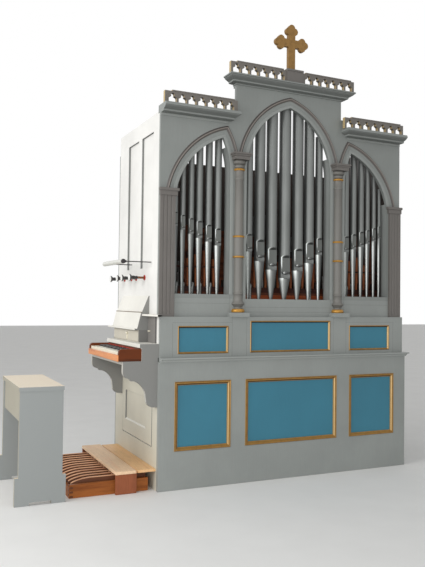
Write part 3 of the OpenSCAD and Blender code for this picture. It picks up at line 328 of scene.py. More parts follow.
# Each material by its name; a slot of the record has the material of the same name
LOOKS = {
    "case_paint": paint(FRONT_COLOUR),
    "inner_paint": paint(FRONT_COLOUR, inside=TO_BACK),
    "shaded_upper_paint": paint(UPPER_SHADED_COLOUR, inside=TO_BACK),
    "back_paint": paint(FRONT_COLOUR, inside=TO_FRONT),
    "right_paint": paint(FRONT_COLOUR, inside=TO_LEFT),
    # The left side as sunlit, with painted shade on its faces to the front; the lower side also has painted
    # light on its level faces
    "side_paint": paint((232, 231, 227), inside=TO_RIGHT, front=SHADED),
    "sunlit_lower_side_paint": paint((204, 200, 184), inside=TO_RIGHT, front=SHADED,
                              top=(236, 234, 226)),
    "joint_dark": paint((92, 93, 91)),
    "joint_shadow_brown": paint((120, 106, 88)),
    "mauve_paint": paint((109, 105, 101)),
    "column_paint": paint((118, 116, 111)),
    # Hood mouldings dark on their slopes as painted shade, with faces to the front lighter as painted light
    "lit_and_shaded_hood_paint": paint((78, 73, 70), front=(132, 125, 119), turn=(0.72, 0.92)),
    # Rails: the cut faces of the fretwork partly bare cut wood, partly painted sunlight
    "rail_paint": paint((112, 107, 101), lit_cut_edge=(182, 160, 116)),
    "blue_paint": paint((55, 122, 144), wear=0.06),
    # Console and brackets as sunlit, with painted shade on their faces to the front
    "console_paint": paint(SUNLIT_CREAM, front=CONSOLE_SHADED),
    "sunlit_bracket_paint": paint((188, 186, 178), front=CONSOLE_SHADED),
    # Waist moulding a little lighter than the case paint, as painted light, and with less painted shade on
    # its undersides
    "lit_waist_paint": paint((156, 160, 157), underside_shade=0.85),
    # Cupboard as sunlit, with painted shade on its face to the front
    "sunlit_cupboard_paint": paint((200, 194, 179), front=(114, 113, 110)),
    # Near rest grey as painted shade, darker still to the front, with the sunlit cream on its level faces
    "shaded_rest_paint": paint((122, 119, 115), front=(92, 90, 88), top=SUNLIT_CREAM),
    # Bench with its level faces lighter as painted light and its faces to the front a cooler grey as painted
    # shade
    "bench_paint": paint((156, 151, 135), front=(146, 150, 149), top=(228, 215, 192)),
    "gilt": gilding((182, 134, 58)),
    "cross_gilt": gilding((142, 107, 56)),
    # Frame gilding with painted shade on faces to the right and below and a painted highlight on faces to the
    # left
    "frame_gilt": gilding((150, 112, 54), (58, 38, 20), (206, 172, 120)),
    # Pipe metals with bands of painted highlight and shade round each tube; the beads' bands are a narrow
    # painted highlight
    "pipe_tin": pipe_metal((126, 129, 127), 0.38, 0.25),
    "plate_tin": pipe_metal((108, 111, 108), 0.45, 0.2),
    "ball_tin": pipe_metal((138, 140, 138), 0.25, 0.3, BALL_PAINTED_LIGHT, BALL_PAINTED_LIGHT, BALL_PAINTED_LIGHT),
    "chest_wood": wood((104, 58, 38), (52, 28, 20), ALONG_X),
    "toe_rail_wood": wood((168, 84, 46), (116, 52, 28), ALONG_X),
    "foot_wood": wood((176, 104, 66), (128, 68, 40), ALONG_Z),
    "rack_wood": wood((66, 34, 26), (34, 20, 16), ALONG_X),
    "mahogany": wood((106, 50, 17), (56, 25, 8), ALONG_X, coat=0.08),
    "slip_wood": wood((236, 154, 92), (194, 106, 54), ALONG_Y, rough=0.3, coat=0.3),
    # Oak with painted shade on the pedals' sides, between the pedals
    "pedal_oak": wood((246, 190, 148), (200, 140, 104), ALONG_X, shaded_sides=(104, 62, 40)),
    "frame_oak": wood((166, 98, 46), (122, 64, 26), ALONG_X),
    "pine": wood((255, 220, 182), (240, 188, 144), ALONG_Y, scale=18.0),
    "second_pine": wood((252, 206, 152), (230, 176, 120), ALONG_Y, scale=18.0),
    "leg_pine": wood((156, 92, 62), (118, 68, 44), ALONG_Z),
    "shank_wood": wood((122, 74, 44), (76, 42, 24), ALONG_X, rough=0.35, coat=0.3),
    "ivory": smooth_plastic((232, 226, 205)),
    "ebony": smooth_plastic((26, 25, 25), 0.25),
    "stop_black": smooth_plastic((24, 22, 22), 0.22),
    "face_white": smooth_plastic((228, 228, 224)),
    "lamp_white": smooth_plastic((206, 206, 199), 0.35),
    "dark_metal": smooth_plastic((40, 36, 36), 0.4, 0.0),
    "felt": felt((176, 44, 34)),
}
for name, material in LOOKS.items():
    material.name = name

# Solids whose looks differ from the rest of their slot
OWN_LOOKS = {
    "inner_paint": ["lower_front", "band_board", "front_rail"],
    "shaded_upper_paint": ["front_stiles", "front_arches", "wing_cornices", "middle_cornice"],
    "back_paint": ["back_boards"],
    "right_paint": ["lower_right_side", "upper_right_side"],
    "sunlit_lower_side_paint": ["lower_left_side"],
    "rail_paint": ["wing_balustrades", "middle_balustrade"],
    "lit_waist_paint": ["waist_moulding"],
    "sunlit_bracket_paint": ["console_brackets", "console_shelf"],
    "sunlit_cupboard_paint": ["console_cupboard"],
    "shaded_rest_paint": ["near_music_rest"],
    "cross_gilt": ["cross"],
    "frame_oak": ["pedal_frame"],
}
# Bevel widths of the solids that stay in view
EDGES = {
    0.0012: ["lower_front", "band_board", "front_rail", "front_stiles", "front_arches", "pilasters",
             "column_blocks", "column_capitals", "console_block", "console_cupboard",
             "music_desk", "near_music_rest", "cross_pedestal", "cross", "lower_left_side",
             "wing_balustrades", "middle_balustrade", "wing_cornices", "middle_cornice"],
    0.002: ["console_brackets", "console_shelf", "bench_ends", "bench_apron", "pedal_frame"],
    0.003: ["bench_seat"],
}


def bevel_edges(piece, width, sharp):
    """Rounds the edges that turn by more than so many degrees."""
    bevel = piece.modifiers.new("edges", "BEVEL")
    bevel.width = width
    bevel.segments = 2
    bevel.limit_method = "ANGLE"
    bevel.angle_limit = math.radians(sharp)


def soften(node, width):
    """Join a solid's flat facets and round its sharp edges."""
    solid = frame["nodes"][node]
    flat = solid.modifiers.new("flat", "DECIMATE")
    flat.decimate_type = "DISSOLVE"
    flat.angle_limit = math.radians(1)
    bevel_edges(solid, width, 50)


def dress_frame():
    """Each solid of the frame gets the material of its slot, or its own look."""
    own = {node: look for look, nodes in OWN_LOOKS.items() for node in nodes}
    for part in frame["record"]["subparts"]:
        mesh = frame["nodes"][part["node"]].data
        mesh.materials.clear()
        mesh.materials.append(LOOKS[own.get(part["node"], part["material_slot"])])
    for width, nodes in EDGES.items():
        for node in nodes:
            soften(node, width)


# Mesh helpers

def skin(bm, rings, looped=False):
    """Quads between rings of points. The end rings are capped, or joined to each other when looped."""
    loops = [[bm.verts.new(point) for point in ring] for ring in rings]
    pairs = list(zip(loops, loops[1:]))
    if looped:
        pairs.append((loops[-1], loops[0]))
    count = len(loops[0])
    for first, second in pairs:
        for i in range(count):
            j = (i + 1) % count
            bm.faces.new((first[i], first[j], second[j], second[i]))
    if not looped:
        bm.faces.new(loops[0][::-1])
        bm.faces.new(loops[-1])


def arc(centre, radius, first, last, steps):
    """Points of an arc round centre, from one angle to another in degrees."""
    points = []
    for k in range(steps + 1):
        angle = math.radians(first + (last - first) * k / steps)
        points.append((centre[0] + radius * math.cos(angle), centre[1] + radius * math.sin(angle)))
    return points


def circle(radius, steps, shift=0.0):
    """Points evenly round a circle, turned on by a share of a step."""
    points = []
    for i in range(steps):
        angle = 2 * math.pi * (i + shift) / steps
        points.append((radius * math.cos(angle), radius * math.sin(angle)))
    return points


def turned(bm, profile, centre, axis="z", steps=32, rear_y=math.inf):
    """A turned solid round an axis through centre: the profile gives (radius, distance along it).

    What would lie behind rear_y is pressed flat on it."""
    rings = []
    for radius, along in profile:
        ring = []
        for a, b in circle(radius, steps):
            offset = {"z": (a, b, along), "x": (along, a, b), "y": (a, along, b)}[axis]
            point = Vector(centre) + Vector(offset)
            point.y = min(point.y, rear_y)
            ring.append(point)
        rings.append(ring)
    skin(bm, rings)


def block(bm, low, high):
    x0, y0, z0 = low
    x1, y1, z1 = high
    skin(bm, [[(x0, y0, z), (x1, y0, z), (x1, y1, z), (x0, y1, z)] for z in (z0, z1)])


def across_y(bm, outline, y0, y1):
    """A drawing of (x, z), carried from y0 to y1."""
    skin(bm, [[(x, y, z) for x, z in outline] for y in (y0, y1)])


def add_piece(name, slot, bm, body=CASE, look=None, bevel=0.0, crease=35, replaces=()):
    """Turns the mesh into a piece that rides on a body."""
    bmesh.ops.recalc_face_normals(bm, faces=bm.faces)
    for face in bm.faces:
        face.smooth = True
    for edge in bm.edges:
        edge.smooth = edge.calc_face_angle(0) < math.radians(crease)
    mesh = bpy.data.meshes.new(name)
    bm.to_mesh(mesh)
    bm.free()
    mesh.materials.append(LOOKS[look or slot])
    piece = bpy.data.objects.new(name, mesh)
    bpy.context.scene.collection.objects.link(piece)
    if bevel:
        bevel_edges(piece, bevel, 40)
    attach(piece, body)
    if replaces:
        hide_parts(*replaces)


def add_board(name, slot, low, high, **settings):
    """A piece that is one straight board."""
    bm = bmesh.new()
    block(bm, low, high)
    add_piece(name, slot, bm, **settings)


# Gilt frames

# Sections as (inset from the board's edge, distance forward of the board)
LARGE_SECTION = [(0, -0.010), (0, 0.0035), (0.003, 0.0045), (0.006, 0.003), (0.0085, 0.003), (0.012, 0.004),
                 (0.015, 0.0035), (0.018, -0.001), (0.021, -0.004), (0.025, -0.0052), (0.025, -0.010)]
SMALL_SECTION = [(0, -0.010), (0, 0.002), (0.003, 0.0036), (0.006, 0.003), (0.009, -0.003), (0.013, -0.006),
                 (0.013, -0.010)]


def moulded_frame(bm, panel, y, section):
    """A mitred moulding inside a rectangle."""
    x0, x1, z0, z1 = panel
    corners = [(x0, z0, 1, 1), (x1, z0, -1, 1), (x1, z1, -1, -1), (x0, z1, 1, -1)]
    rings = []
    for x, z, dx, dz in corners:
        rings.append([(x + dx * inset, y - forward, z + dz * inset) for inset, forward in section])
    skin(bm, rings, looped=True)


def add_gilt_frames():
    bm = bmesh.new()
    for panel in LOWER_PANELS:
        moulded_frame(bm, panel, FRONT_Y, LARGE_SECTION)
    for panel in BAND_PANELS:
        moulded_frame(bm, panel, BAND_Y, SMALL_SECTION)
    add_piece("gilt_mouldings", "gilt", bm, look="frame_gilt", crease=25, replaces=["gilt_frames"])


# Front pipes

PIPE_STEPS = 40
PIPE_WALL = 0.002
TIP_R = 0.007
# Depth of the open top of a pipe
PIPE_OPEN = 0.05
# Distance from a pipe's middle to the flat over its mouth, as a share of the radius
FLAT = 0.62


def plate_height(radius):
    """How far the flat over a mouth runs up: slimmer pipes have longer ones for their width."""
    return 0.050 + 1.45 * radius


def pipe_rings(x, radius, mouth, top):
    """Rings of a flue pipe from its toe up, pressed flat round the mouth."""
    flat = FLAT * radius
    slit = 0.24 * radius
    plate_top = mouth + plate_height(radius)
    arch = 0.42 * radius
    lower = 0.95 * radius
    half = 0.80 * radius
    step = 0.0004

    def pressed(dx, dy, z):
        """The point's new distance forward, for a point on the front half."""
        if dy > -flat or abs(dx) > half:
            return dy
        share = math.sqrt(max(0.0, 1 - (dx / half) ** 2))
        if mouth + step < z < mouth + slit - step:
            return -0.35 * radius
        if mouth <= z <= plate_top:
            return -flat
        if plate_top < z < plate_top + arch * share:
            return -flat + (dy + flat) * (z - plate_top) / (arch * share)
        if mouth - lower * share <= z < mouth:
            return -flat + 0.10 * radius * (z - mouth + lower) / lower
        return dy

    foot_top = mouth - lower
    levels = [(TIP_R, TOE_Z), (TIP_R * 1.1, TOE_Z + 0.01)]
    levels += [(TIP_R + (radius - TIP_R) * k / 4, TOE_Z + (foot_top - TOE_Z) * k / 4) for k in range(1, 5)]
    heights = [mouth - lower * (1 - k / 7) for k in range(1, 7)]
    heights += [mouth, mouth + 2 * step, mouth + slit - 2 * step, mouth + slit]
    heights += [plate_top + arch * k / 7 for k in range(9)] + [top]
    levels += [(radius, z) for z in heights]
    levels += [(radius - PIPE_WALL, top), (radius - PIPE_WALL, top - PIPE_OPEN)]
    rings = []
    for r, z in levels:
        ring = []
        for dx, dy in circle(r, PIPE_STEPS, 0.5):
            if r == radius and z < top - 0.01:
                dy = pressed(dx, dy, z)
            ring.append((x + dx, PIPE_Y + dy, z))
        rings.append(ring)
    return rings


def lip_plate(bm, x, radius, mouth):
    """Leaf with rounded upper corners that stands on the flat over a mouth."""
    y = PIPE_Y - FLAT * radius
    low = mouth + 0.26 * radius
    high = mouth + plate_height(radius) - 0.001
    half = 0.755 * radius
    corner = 0.35 * radius
    outline = [(x - half, low), (x + half, low)]
    for side, first in ((1, 0), (-1, 90)):
        outline += arc((x + side * (half - corner), high - corner), corner, first, first + 90, 5)
    across_y(bm, outline, y - 0.0007, y + 0.0007)


def lip_ball(bm, x, radius, mouth):
    """The long bead in the middle of a mouth; its tin carries a narrow painted highlight."""
    profile = []
    for k in range(1, 12):
        turn = math.pi * k / 12
        profile.append((0.27 * radius * math.sin(turn), -0.56 * radius * math.cos(turn)))
    turned(bm, profile, (x, PIPE_Y - 0.60 * radius, mouth + 0.05 * radius), "x", 24)


# Arches: edges, sills, springs and point of the openings, and the radius of their sweeps
MID_HALF_W = 0.358
MID_SILL_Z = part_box("front_rail")[1][2]
MID_SPRING_Z = 2.200
MID_APEX_Z = 2.687
MID_RADIUS = (MID_HALF_W ** 2 + (MID_APEX_Z - MID_SPRING_Z) ** 2) / (2 * MID_HALF_W)
SIDE_IN_X = 0.488
SIDE_OUT_X = 0.907
SIDE_SILL_Z = 1.306
SIDE_SPRING_Z = 1.900
INNER_SPRING_Z = 2.163
SIDE_RADIUS = 0.536
# Centres of the sweeps on the right and on the left of the middle opening and of the right one
MID_CENTRES = ((MID_HALF_W - MID_RADIUS, MID_SPRING_Z), (MID_RADIUS - MID_HALF_W, MID_SPRING_Z))
SIDE_CENTRES = ((SIDE_OUT_X - SIDE_RADIUS, SIDE_SPRING_Z), (SIDE_IN_X + SIDE_RADIUS, INNER_SPRING_Z))
# How far the front pipes run up behind the edge of the arch
HIDDEN = 0.038


def mid_arch_z(x):
    return MID_SPRING_Z + math.sqrt(MID_RADIUS ** 2 - (MID_RADIUS - MID_HALF_W + abs(x)) ** 2)


def side_arch_z(x):
    low = SIDE_SPRING_Z + math.sqrt(SIDE_RADIUS ** 2 - max(0.0, x - SIDE_OUT_X + SIDE_RADIUS) ** 2)
    high = INNER_SPRING_Z + math.sqrt(SIDE_RADIUS ** 2 - (SIDE_IN_X + SIDE_RADIUS - x) ** 2)
    return min(low, high)


def add_pipe_group(name, node, pipes):
    """Bodies, beads and leaves of the pipes given as (x, radius, mouth, top)."""
    bodies = bmesh.new()
    lips = bmesh.new()
    plates = bmesh.new()
    for x, radius, mouth, top in pipes:
        skin(bodies, pipe_rings(x, radius, mouth, top))
        lip_ball(lips, x, radius, mouth)
        lip_plate(plates, x, radius, mouth)
    add_piece(name, "pipe_tin", bodies, crease=28, replaces=[node])
    add_piece(name + "_lips", "pipe_tin", lips, look="ball_tin")
    add_piece(name + "_plates", "pipe_tin", plates, look="plate_tin")


def add_front_pipes():
    middle = []
    for i in range(-3, 4):
        x, radius = MIDDLE_PIPES[abs(i)]
        mouth = MIDDLE_MOUTH[0] + abs(i) * MIDDLE_MOUTH[1]
        top = mid_arch_z(max(0.0, x - radius)) + HIDDEN
        middle.append((math.copysign(x, i), radius, mouth, top))
    add_pipe_group("middle_front_pipes", "middle_pipes", middle)
    for side, word in ((-1, "left"), (1, "right")):
        group = []
        for i, (x, radius) in enumerate(SIDE_PIPES):
            mouth = SIDE_MOUTH[0] + i * SIDE_MOUTH[1]
            top = max(side_arch_z(x - radius), side_arch_z(x + radius)) + HIDDEN
            group.append((side * x, radius, mouth, top))
        add_pipe_group(word + "_front_pipes", word + "_pipes", group)


# Slim feet of the second row: places either side of the middle, line, and profile as (radius, rise)
SMALL_FEET = [0.258, 0.588, 0.658, 0.725, 0.788, 0.845]
SMALL_FEET_Y = 0.160
SMALL_FOOT = [(0.006, 0.0), (0.010, 0.115), (0.012, 0.134), (0.009, 0.146), (0.003, 0.150)]


def add_small_feet():
    """Slim feet that show between the front pipes, leaning one way and the other."""
    bm = bmesh.new()
    for side in (-1, 1):
        for k, x in enumerate(SMALL_FEET):
            lean = 0.006 if k % 2 else -0.004
            rings = []
            for radius, rise in SMALL_FOOT:
                centre_x = side * x + lean * rise / SMALL_FOOT[-1][1]
                rings.append([(centre_x + a, SMALL_FEET_Y + b, TOE_Z + rise) for a, b in circle(radius, 16)])
            skin(bm, rings)
    add_piece("second_row_feet", "pipe_tin", bm)


# Wooden feet behind the gaps between the front pipes: places, line, lowest top and height of the blocks
WOODEN_FEET = [-0.737, -0.675, -0.608, -0.536, -0.200, -0.107, 0.0, 0.111, 0.217, 0.310, 0.650, 0.720, 0.790]
WOODEN_FEET_Y = CHEST_Y + 0.0315
WOODEN_FEET_TOP = 1.560
FOOT_BLOCK_H = 0.05
# Height of the rack rail that shows in the side openings
RACK_Z = (1.496, 1.506)


def add_wooden_feet():
    """Tapered wooden feet of the row behind, each with a darker block on top."""
    feet = bmesh.new()
    blocks = bmesh.new()
    foot_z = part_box("wind_chest")[1][2]
    y = WOODEN_FEET_Y
    for k, x in enumerate(WOODEN_FEET):
        top = WOODEN_FEET_TOP + 0.03 * (k % 3)
        rings = []
        for half, z in ((0.006, foot_z), (0.0105, top - 0.05), (0.0115, top)):
            rings.append([(x + half * a, y + half * b, z) for a, b in ((-1, -1), (1, -1), (1, 1), (-1, 1))])
        skin(feet, rings)
        block(blocks, (x - 0.013, y - 0.013, top), (x + 0.013, y + 0.013, top + FOOT_BLOCK_H))
    add_piece("wooden_feet", "chest_wood", feet, look="foot_wood", bevel=0.001)
    add_piece("foot_blocks", "chest_wood", blocks, look="rack_wood", bevel=0.001)


def add_toe_rails():
    """Bright front rail of the wind chest and the dark rack above it."""
    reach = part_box("wind_chest")[1][0]
    add_board("toe_rail", "chest_wood", (-reach, CHEST_Y - 0.006, TOE_Z),
              (reach, CHEST_Y + 0.020, TOE_Z + 0.068), look="toe_rail_wood", bevel=0.003)
    rack = bmesh.new()
    block(rack, (-reach, CHEST_Y + 0.001, TOE_Z + 0.070), (reach, CHEST_Y + 0.017, TOE_Z + 0.122))
    for side in (-1, 1):
        inner, outer = sorted((side * SIDE_IN_X, side * reach))
        block(rack, (inner, CHEST_Y - 0.004, RACK_Z[0]), (outer, CHEST_Y + 0.014, RACK_Z[1]))
    add_piece("rack_board", "chest_wood", rack, look="rack_wood", bevel=0.002)


# Keyboard

WHITE_KEYS = 29
CHEEK_T = 0.022
SHOULDER_R = 0.024


def has_sharp(i):
    """Whether a short key or pedal stands after this long one, counted from the first of its scale."""
    return i % 7 not in (2, 6)


def add_keys():
    low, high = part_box("white_keys_row")
    black_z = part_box("black_keys_row")[1][2]
    pitch = (high[1] - low[1] + 0.001) / WHITE_KEYS
    white = bmesh.new()
    black = bmesh.new()
    for i in range(WHITE_KEYS):
        y0 = low[1] + i * pitch
        y1 = low[1] + (i + 1) * pitch
        block(white, (low[0], y0 + 0.0004, low[2] + 0.004), (high[0], y1 - 0.0011, high[2]))
        if has_sharp(i) and i < WHITE_KEYS - 1:
            rings = []
            for back, near, far, z in ((0.048, 0.006, 0.0055, high[2] - 0.004),
                                       (0.054, 0.0045, 0.004, black_z)):
                rings.append([(low[0] + back, y1 - near, z), (high[0], y1 - near, z), (high[0], y1 + far, z),
                              (low[0] + back, y1 + far, z)])
            skin(black, rings)
    add_piece("white_keys", "ivory", white, bevel=0.0011, replaces=["white_keys_row"])
    add_piece("black_keys", "ebony", black, bevel=0.0012, replaces=["black_keys_row"])


def add_keydesk():
    """Polished cheeks with rounded shoulders, the key slip and the board behind the keys."""
    low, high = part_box("keydesk")
    near = low[1] + CHEEK_T
    far = high[1] - CHEEK_T
    front = low[0] + 0.006
    cheeks = bmesh.new()
    outline = [(front, low[2]), (high[0], low[2]), (high[0], high[2])]
    outline += arc((front + SHOULDER_R, high[2] - SHOULDER_R), SHOULDER_R, 90, 180, 6)
    for y in (low[1], far):
        across_y(cheeks, outline, y, y + CHEEK_T)
    block(cheeks, (low[0] + 0.012, near, low[2]), (high[0], far, low[2] + 0.022))
    add_piece("keydesk_cheeks", "mahogany", cheeks, bevel=0.002, replaces=["keydesk"])
    add_board("key_slip", "mahogany", (low[0], low[1] + 0.002, low[2]),
              (low[0] + 0.012, high[1] - 0.002, low[2] + 0.042), look="slip_wood", bevel=0.003)
    add_board("name_board", "mahogany", (high[0] - 0.013, near, high[2] - 0.008),
              (high[0], far, high[2] + 0.006), bevel=0.002)
    add_board("name_board_felt", "felt", (high[0] - 0.017, near, high[2] - 0.012),
              (high[0] - 0.012, far, high[2] - 0.006), bevel=0.001)


# Console: knob of the near board, top edge of the sloping desk, thickness of the ledge and the near shelf
NEAR_KNOB = (-1.028, 0.171, 1.048)
UPPER_HALF_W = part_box("front_arches")[1][0]
DESK_TOP_X = -1.075
DESK_TOP_Z = 1.173
DESK_FAR_Y = 0.807
LEDGE_T = 0.010
SHELF_T = 0.013
# How far trim stands out from what it covers
PROUD = 0.0005


def add_desk_edges():
    """Nosings of the music ledge and the near shelf in the console's sunlit cream, painted light,
    and a brown strip over the sloping board: a joint with a painted shadow along it.
    """
    low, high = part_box("music_desk")
    near_low, near_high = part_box("near_music_rest")
    bm = bmesh.new()
    block(bm, (low[0] - PROUD, low[1], low[2] - PROUD), (low[0] + 0.006, high[1], low[2] + LEDGE_T + 0.0008))
    outline = [(-UPPER_HALF_W, near_low[1]), (-UPPER_HALF_W, near_high[1] - 0.001),
               (near_low[0] - PROUD, near_high[1] - 0.001), (near_low[0] + 0.0235, near_low[1])]
    levels = (near_high[2] - SHELF_T - PROUD, near_high[2] + PROUD)
    skin(bm, [[(x, y, z) for x, y in outline] for z in levels])
    add_piece("shelf_nosings", "console_paint", bm, bevel=0.002)
    # Brown strip along the top edge of the lower desk board: a joint with a painted shadow along it
    add_board("desk_joint_shadow", "console_paint", (DESK_TOP_X - 0.0008, low[1] + 0.001, DESK_TOP_Z - 0.0008),
              (DESK_TOP_X + 0.0065, DESK_FAR_Y, DESK_TOP_Z + 0.0048), look="joint_shadow_brown")


def add_console_fittings():
    """Knob and pull of the cupboard, its door, and the small knob of the near board."""
    low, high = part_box("console_cupboard")
    knob_y = (low[1] + high[1]) / 2 - 0.045
    knob_z = high[2] - 0.028
    bm = bmesh.new()
    turned(bm, [(0.004, 0.002), (0.005, -0.003), (0.0085, -0.006), (0.0095, -0.011), (0.007, -0.015),
                (0.003, -0.016)], (low[0], knob_y, knob_z), "x", 24)
    block(bm, (low[0] - 0.010, knob_y - 0.004, knob_z - 0.042), (low[0], knob_y + 0.004, knob_z - 0.014))
    turned(bm, [(0.006, 0.002), (0.004, -0.006), (0.007, -0.012), (0.003, -0.015)], NEAR_KNOB, "x", 20)
    add_piece("console_knobs", "ivory", bm, bevel=0.0015)
    add_board("cupboard_door", "console_paint", (low[0] - 0.003, low[1] + 0.004, low[2] + 0.004),
              (low[0] + 0.001, high[1] - 0.004, high[2] - 0.006), look="sunlit_cupboard_paint", bevel=0.0015)


# Stops and lamp

KNOB_R = 0.024
LAMP_R = 0.017
LAMP_ROD_R = 0.0035


def add_stop(number):
    """Brown shank, black turned knob and white face."""
    node = f"stop_{number}"
    body = f"stop_{number}_body"
    low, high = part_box(node)
    tip = (low[0], (low[1] + high[1]) / 2, (low[2] + high[2]) / 2)
    shank = bmesh.new()
    turned(shank, [(0.0075, 0.058), (0.008, 0.064), (0.008, high[0] - low[0])], tip, "x", 24)
    add_piece(node + "_shank", "stop_black", shank, body=body, look="shank_wood", replaces=[node])
    knob = bmesh.new()
    turned(knob, [(KNOB_R - 0.003, 0.0025), (KNOB_R, 0.004), (KNOB_R, 0.008), (0.020, 0.013), (0.0135, 0.020),
                  (0.012, 0.026), (0.0135, 0.033), (0.0125, 0.040), (0.010, 0.048), (0.012, 0.055),
                  (0.0125, 0.060), (0.0085, 0.063)], tip, "x", 36)
    add_piece(node + "_knob", "stop_black", knob, body=body, crease=50)
    face = bmesh.new()
    profile = [(KNOB_R - 0.003, 0.004), (KNOB_R - 0.0025, 0.001), (0.012, 0.0), (0.002, 0.0)]
    turned(face, profile, tip, "x", 36)
    add_piece(node + "_face", "lamp_white", face, body=body, look="face_white")


def add_lamp():
    """White tube with a dark cap at its near end, on two thin rods."""
    low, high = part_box("lamp")
    x = low[0] + LAMP_R
    z = (low[2] + high[2]) / 2
    tube = bmesh.new()
    turned(tube, [(LAMP_R - 0.004, low[1] + 0.010), (LAMP_R, low[1] + 0.012), (LAMP_R, high[1] - 0.004),
                  (LAMP_R - 0.004, high[1])], (x, 0, z), "y", 40)
    add_piece("lamp_tube", "lamp_white", tube, replaces=["lamp"])
    dark = bmesh.new()
    turned(dark, [(0.006, low[1]), (LAMP_R - 0.003, low[1]), (LAMP_R - 0.001, low[1] + 0.003),
                  (LAMP_R - 0.001, low[1] + 0.014)], (x, 0, z), "y", 40)
    for y in (low[1] + 0.012, high[1] - 0.030):
        turned(dark, [(LAMP_ROD_R, x), (LAMP_ROD_R, high[0])], (0, y, z), "x", 12)
        turned(dark, [(0.009, x + 0.012), (0.009, x + 0.022), (LAMP_ROD_R, x + 0.026)], (0, y, z), "x", 20)
    add_piece("lamp_rods", "lamp_white", dark, look="dark_metal")


# Arch mouldings and the edges of the openings

ABACUS_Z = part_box("column_capitals")[1][2]
CAP_TOP_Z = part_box("pilasters")[1][2]
COLUMN_X = 0.422
ARC_STEPS = 40
# Trim ends this far above a sill
SILL_GAP = 0.001
# Tops of the deep linings behind the tall and the low springs
TALL_LINING_TOP = 2.345
LOW_LINING_TOP = 2.040

# Sections as (distance out from the opening, distance forward of the board)
HOOD_SECTION = [(0.050, -0.001), (0.050, 0.001), (0.0565, 0.0075), (0.0585, 0.0105), (0.061, 0.0118),
                (0.065, 0.0118), (0.0675, 0.0105), (0.0695, 0.0075), (0.076, 0.001), (0.076, -0.001)]
EDGE_SECTION = [(0.0005, -0.001), (0.0005, 0.0015), (0.002, 0.003), (0.0205, 0.003), (0.0235, 0.0004),
                (0.0235, -0.001)]
LINING_SECTION = [(-0.0005, -0.023), (-0.0005, -0.089), (0.0115, -0.089), (0.0115, -0.023)]


def sweep_points(centre, radius, side, low_z, top):
    """Points of a sweep round centre from the height low_z to the point top; side is where it bulges."""
    first = math.asin(max(-1.0, min(1.0, (low_z - centre[1]) / radius)))
    last = math.atan2(top[1] - centre[1], side * (top[0] - centre[0]))
    points = arc((0, centre[1]), radius, math.degrees(first), math.degrees(last), ARC_STEPS)
    return [(centre[0] + side * x, z) for x, z in points]


def swept_line(grow, centres, radius, feet, clamp):
    """The pointed line at a distance out from an opening: up its left sweep and down its right one."""
    left, right = centres
    size = radius + grow
    gap = math.dist(left, right)
    rise = math.sqrt(size ** 2 - (gap / 2) ** 2)
    across = ((right[0] - left[0]) / gap, (right[1] - left[1]) / gap)
    top = ((left[0] + right[0]) / 2 - across[1] * rise, (left[1] + right[1]) / 2 + across[0] * rise)
    up = sweep_points(right, size, -1, feet[0], top)
    down = sweep_points(left, size, 1, feet[1], top)[::-1]
    return [(max(clamp[0], min(clamp[1], x)), z) for x, z in up + down[1:]]


def sweep_section(bm, section, centres, radius, feet, clamp=(-math.inf, math.inf), mirrored=False, legs=None):
    """Carries a section along a pointed arch whose feet are at two heights, and on down its legs.

    Clamp holds the arch between two places across the front."""
    lines = []
    for grow, forward in section:
        line = swept_line(grow, centres, radius, feet, clamp)
        if legs:
            line = [(line[0][0], legs[0])] + line + [(line[-1][0], legs[1])]
        lines.append([(-x if mirrored else x, BOARD_Y - forward, z) for x, z in line])
    skin(bm, [list(ring) for ring in zip(*lines)])


def add_hoods():
    """Three-part mauve mouldings over the arches."""
    bm = bmesh.new()
    sweep_section(bm, HOOD_SECTION, MID_CENTRES, MID_RADIUS, (ABACUS_Z, ABACUS_Z),
                  (0.001 - COLUMN_X, COLUMN_X - 0.001))
    for mirrored in (False, True):
        sweep_section(bm, HOOD_SECTION, SIDE_CENTRES, SIDE_RADIUS, (ABACUS_Z, CAP_TOP_Z),
                      (COLUMN_X + 0.002, math.inf), mirrored)
    add_piece("hood_mouldings", "mauve_paint", bm, look="lit_and_shaded_hood_paint", crease=40, replaces=["arch_mouldings"])


def add_opening_edges():
    """Thin raised edge round each opening."""
    low_end = MID_SILL_Z + SILL_GAP
    bm = bmesh.new()
    sweep_section(bm, EDGE_SECTION, MID_CENTRES, MID_RADIUS, (MID_SPRING_Z, MID_SPRING_Z),
                  legs=(low_end, low_end))
    for mirrored in (False, True):
        sweep_section(bm, EDGE_SECTION, SIDE_CENTRES, SIDE_RADIUS, (INNER_SPRING_Z, CAP_TOP_Z),
                      mirrored=mirrored, legs=(SIDE_SILL_Z + SILL_GAP, CAP_TOP_Z - 0.001))
    add_piece("opening_edges", "case_paint", bm, crease=25)


def add_lining(bm, x, side, sill, spring, stop, radius):
    """Upright board behind an opening's edge, bent in with the foot of the arch above it."""
    points = [(0.0, sill + SILL_GAP), (0.0, spring)]
    for k in range(1, 9):
        z = spring + (stop - spring) * k / 8
        points.append((radius - math.sqrt(radius ** 2 - (z - spring) ** 2), z))
    rings = []
    for inward, z in points:
        rings.append([(x + side * (out - inward), BOARD_Y - forward, z) for out, forward in LINING_SECTION])
    skin(bm, rings)


def add_linings():
    """Deep boards behind both jambs of each opening."""
    bm = bmesh.new()
    for side in (-1, 1):
        add_lining(bm, side * MID_HALF_W, side, MID_SILL_Z, MID_SPRING_Z, TALL_LINING_TOP, MID_RADIUS)
        add_lining(bm, side * SIDE_OUT_X, side, SIDE_SILL_Z, SIDE_SPRING_Z, LOW_LINING_TOP, SIDE_RADIUS)
        add_lining(bm, side * SIDE_IN_X, -side, SIDE_SILL_Z, INNER_SPRING_Z, TALL_LINING_TOP, SIDE_RADIUS)
    add_piece("deep_linings", "case_paint", bm, crease=30)


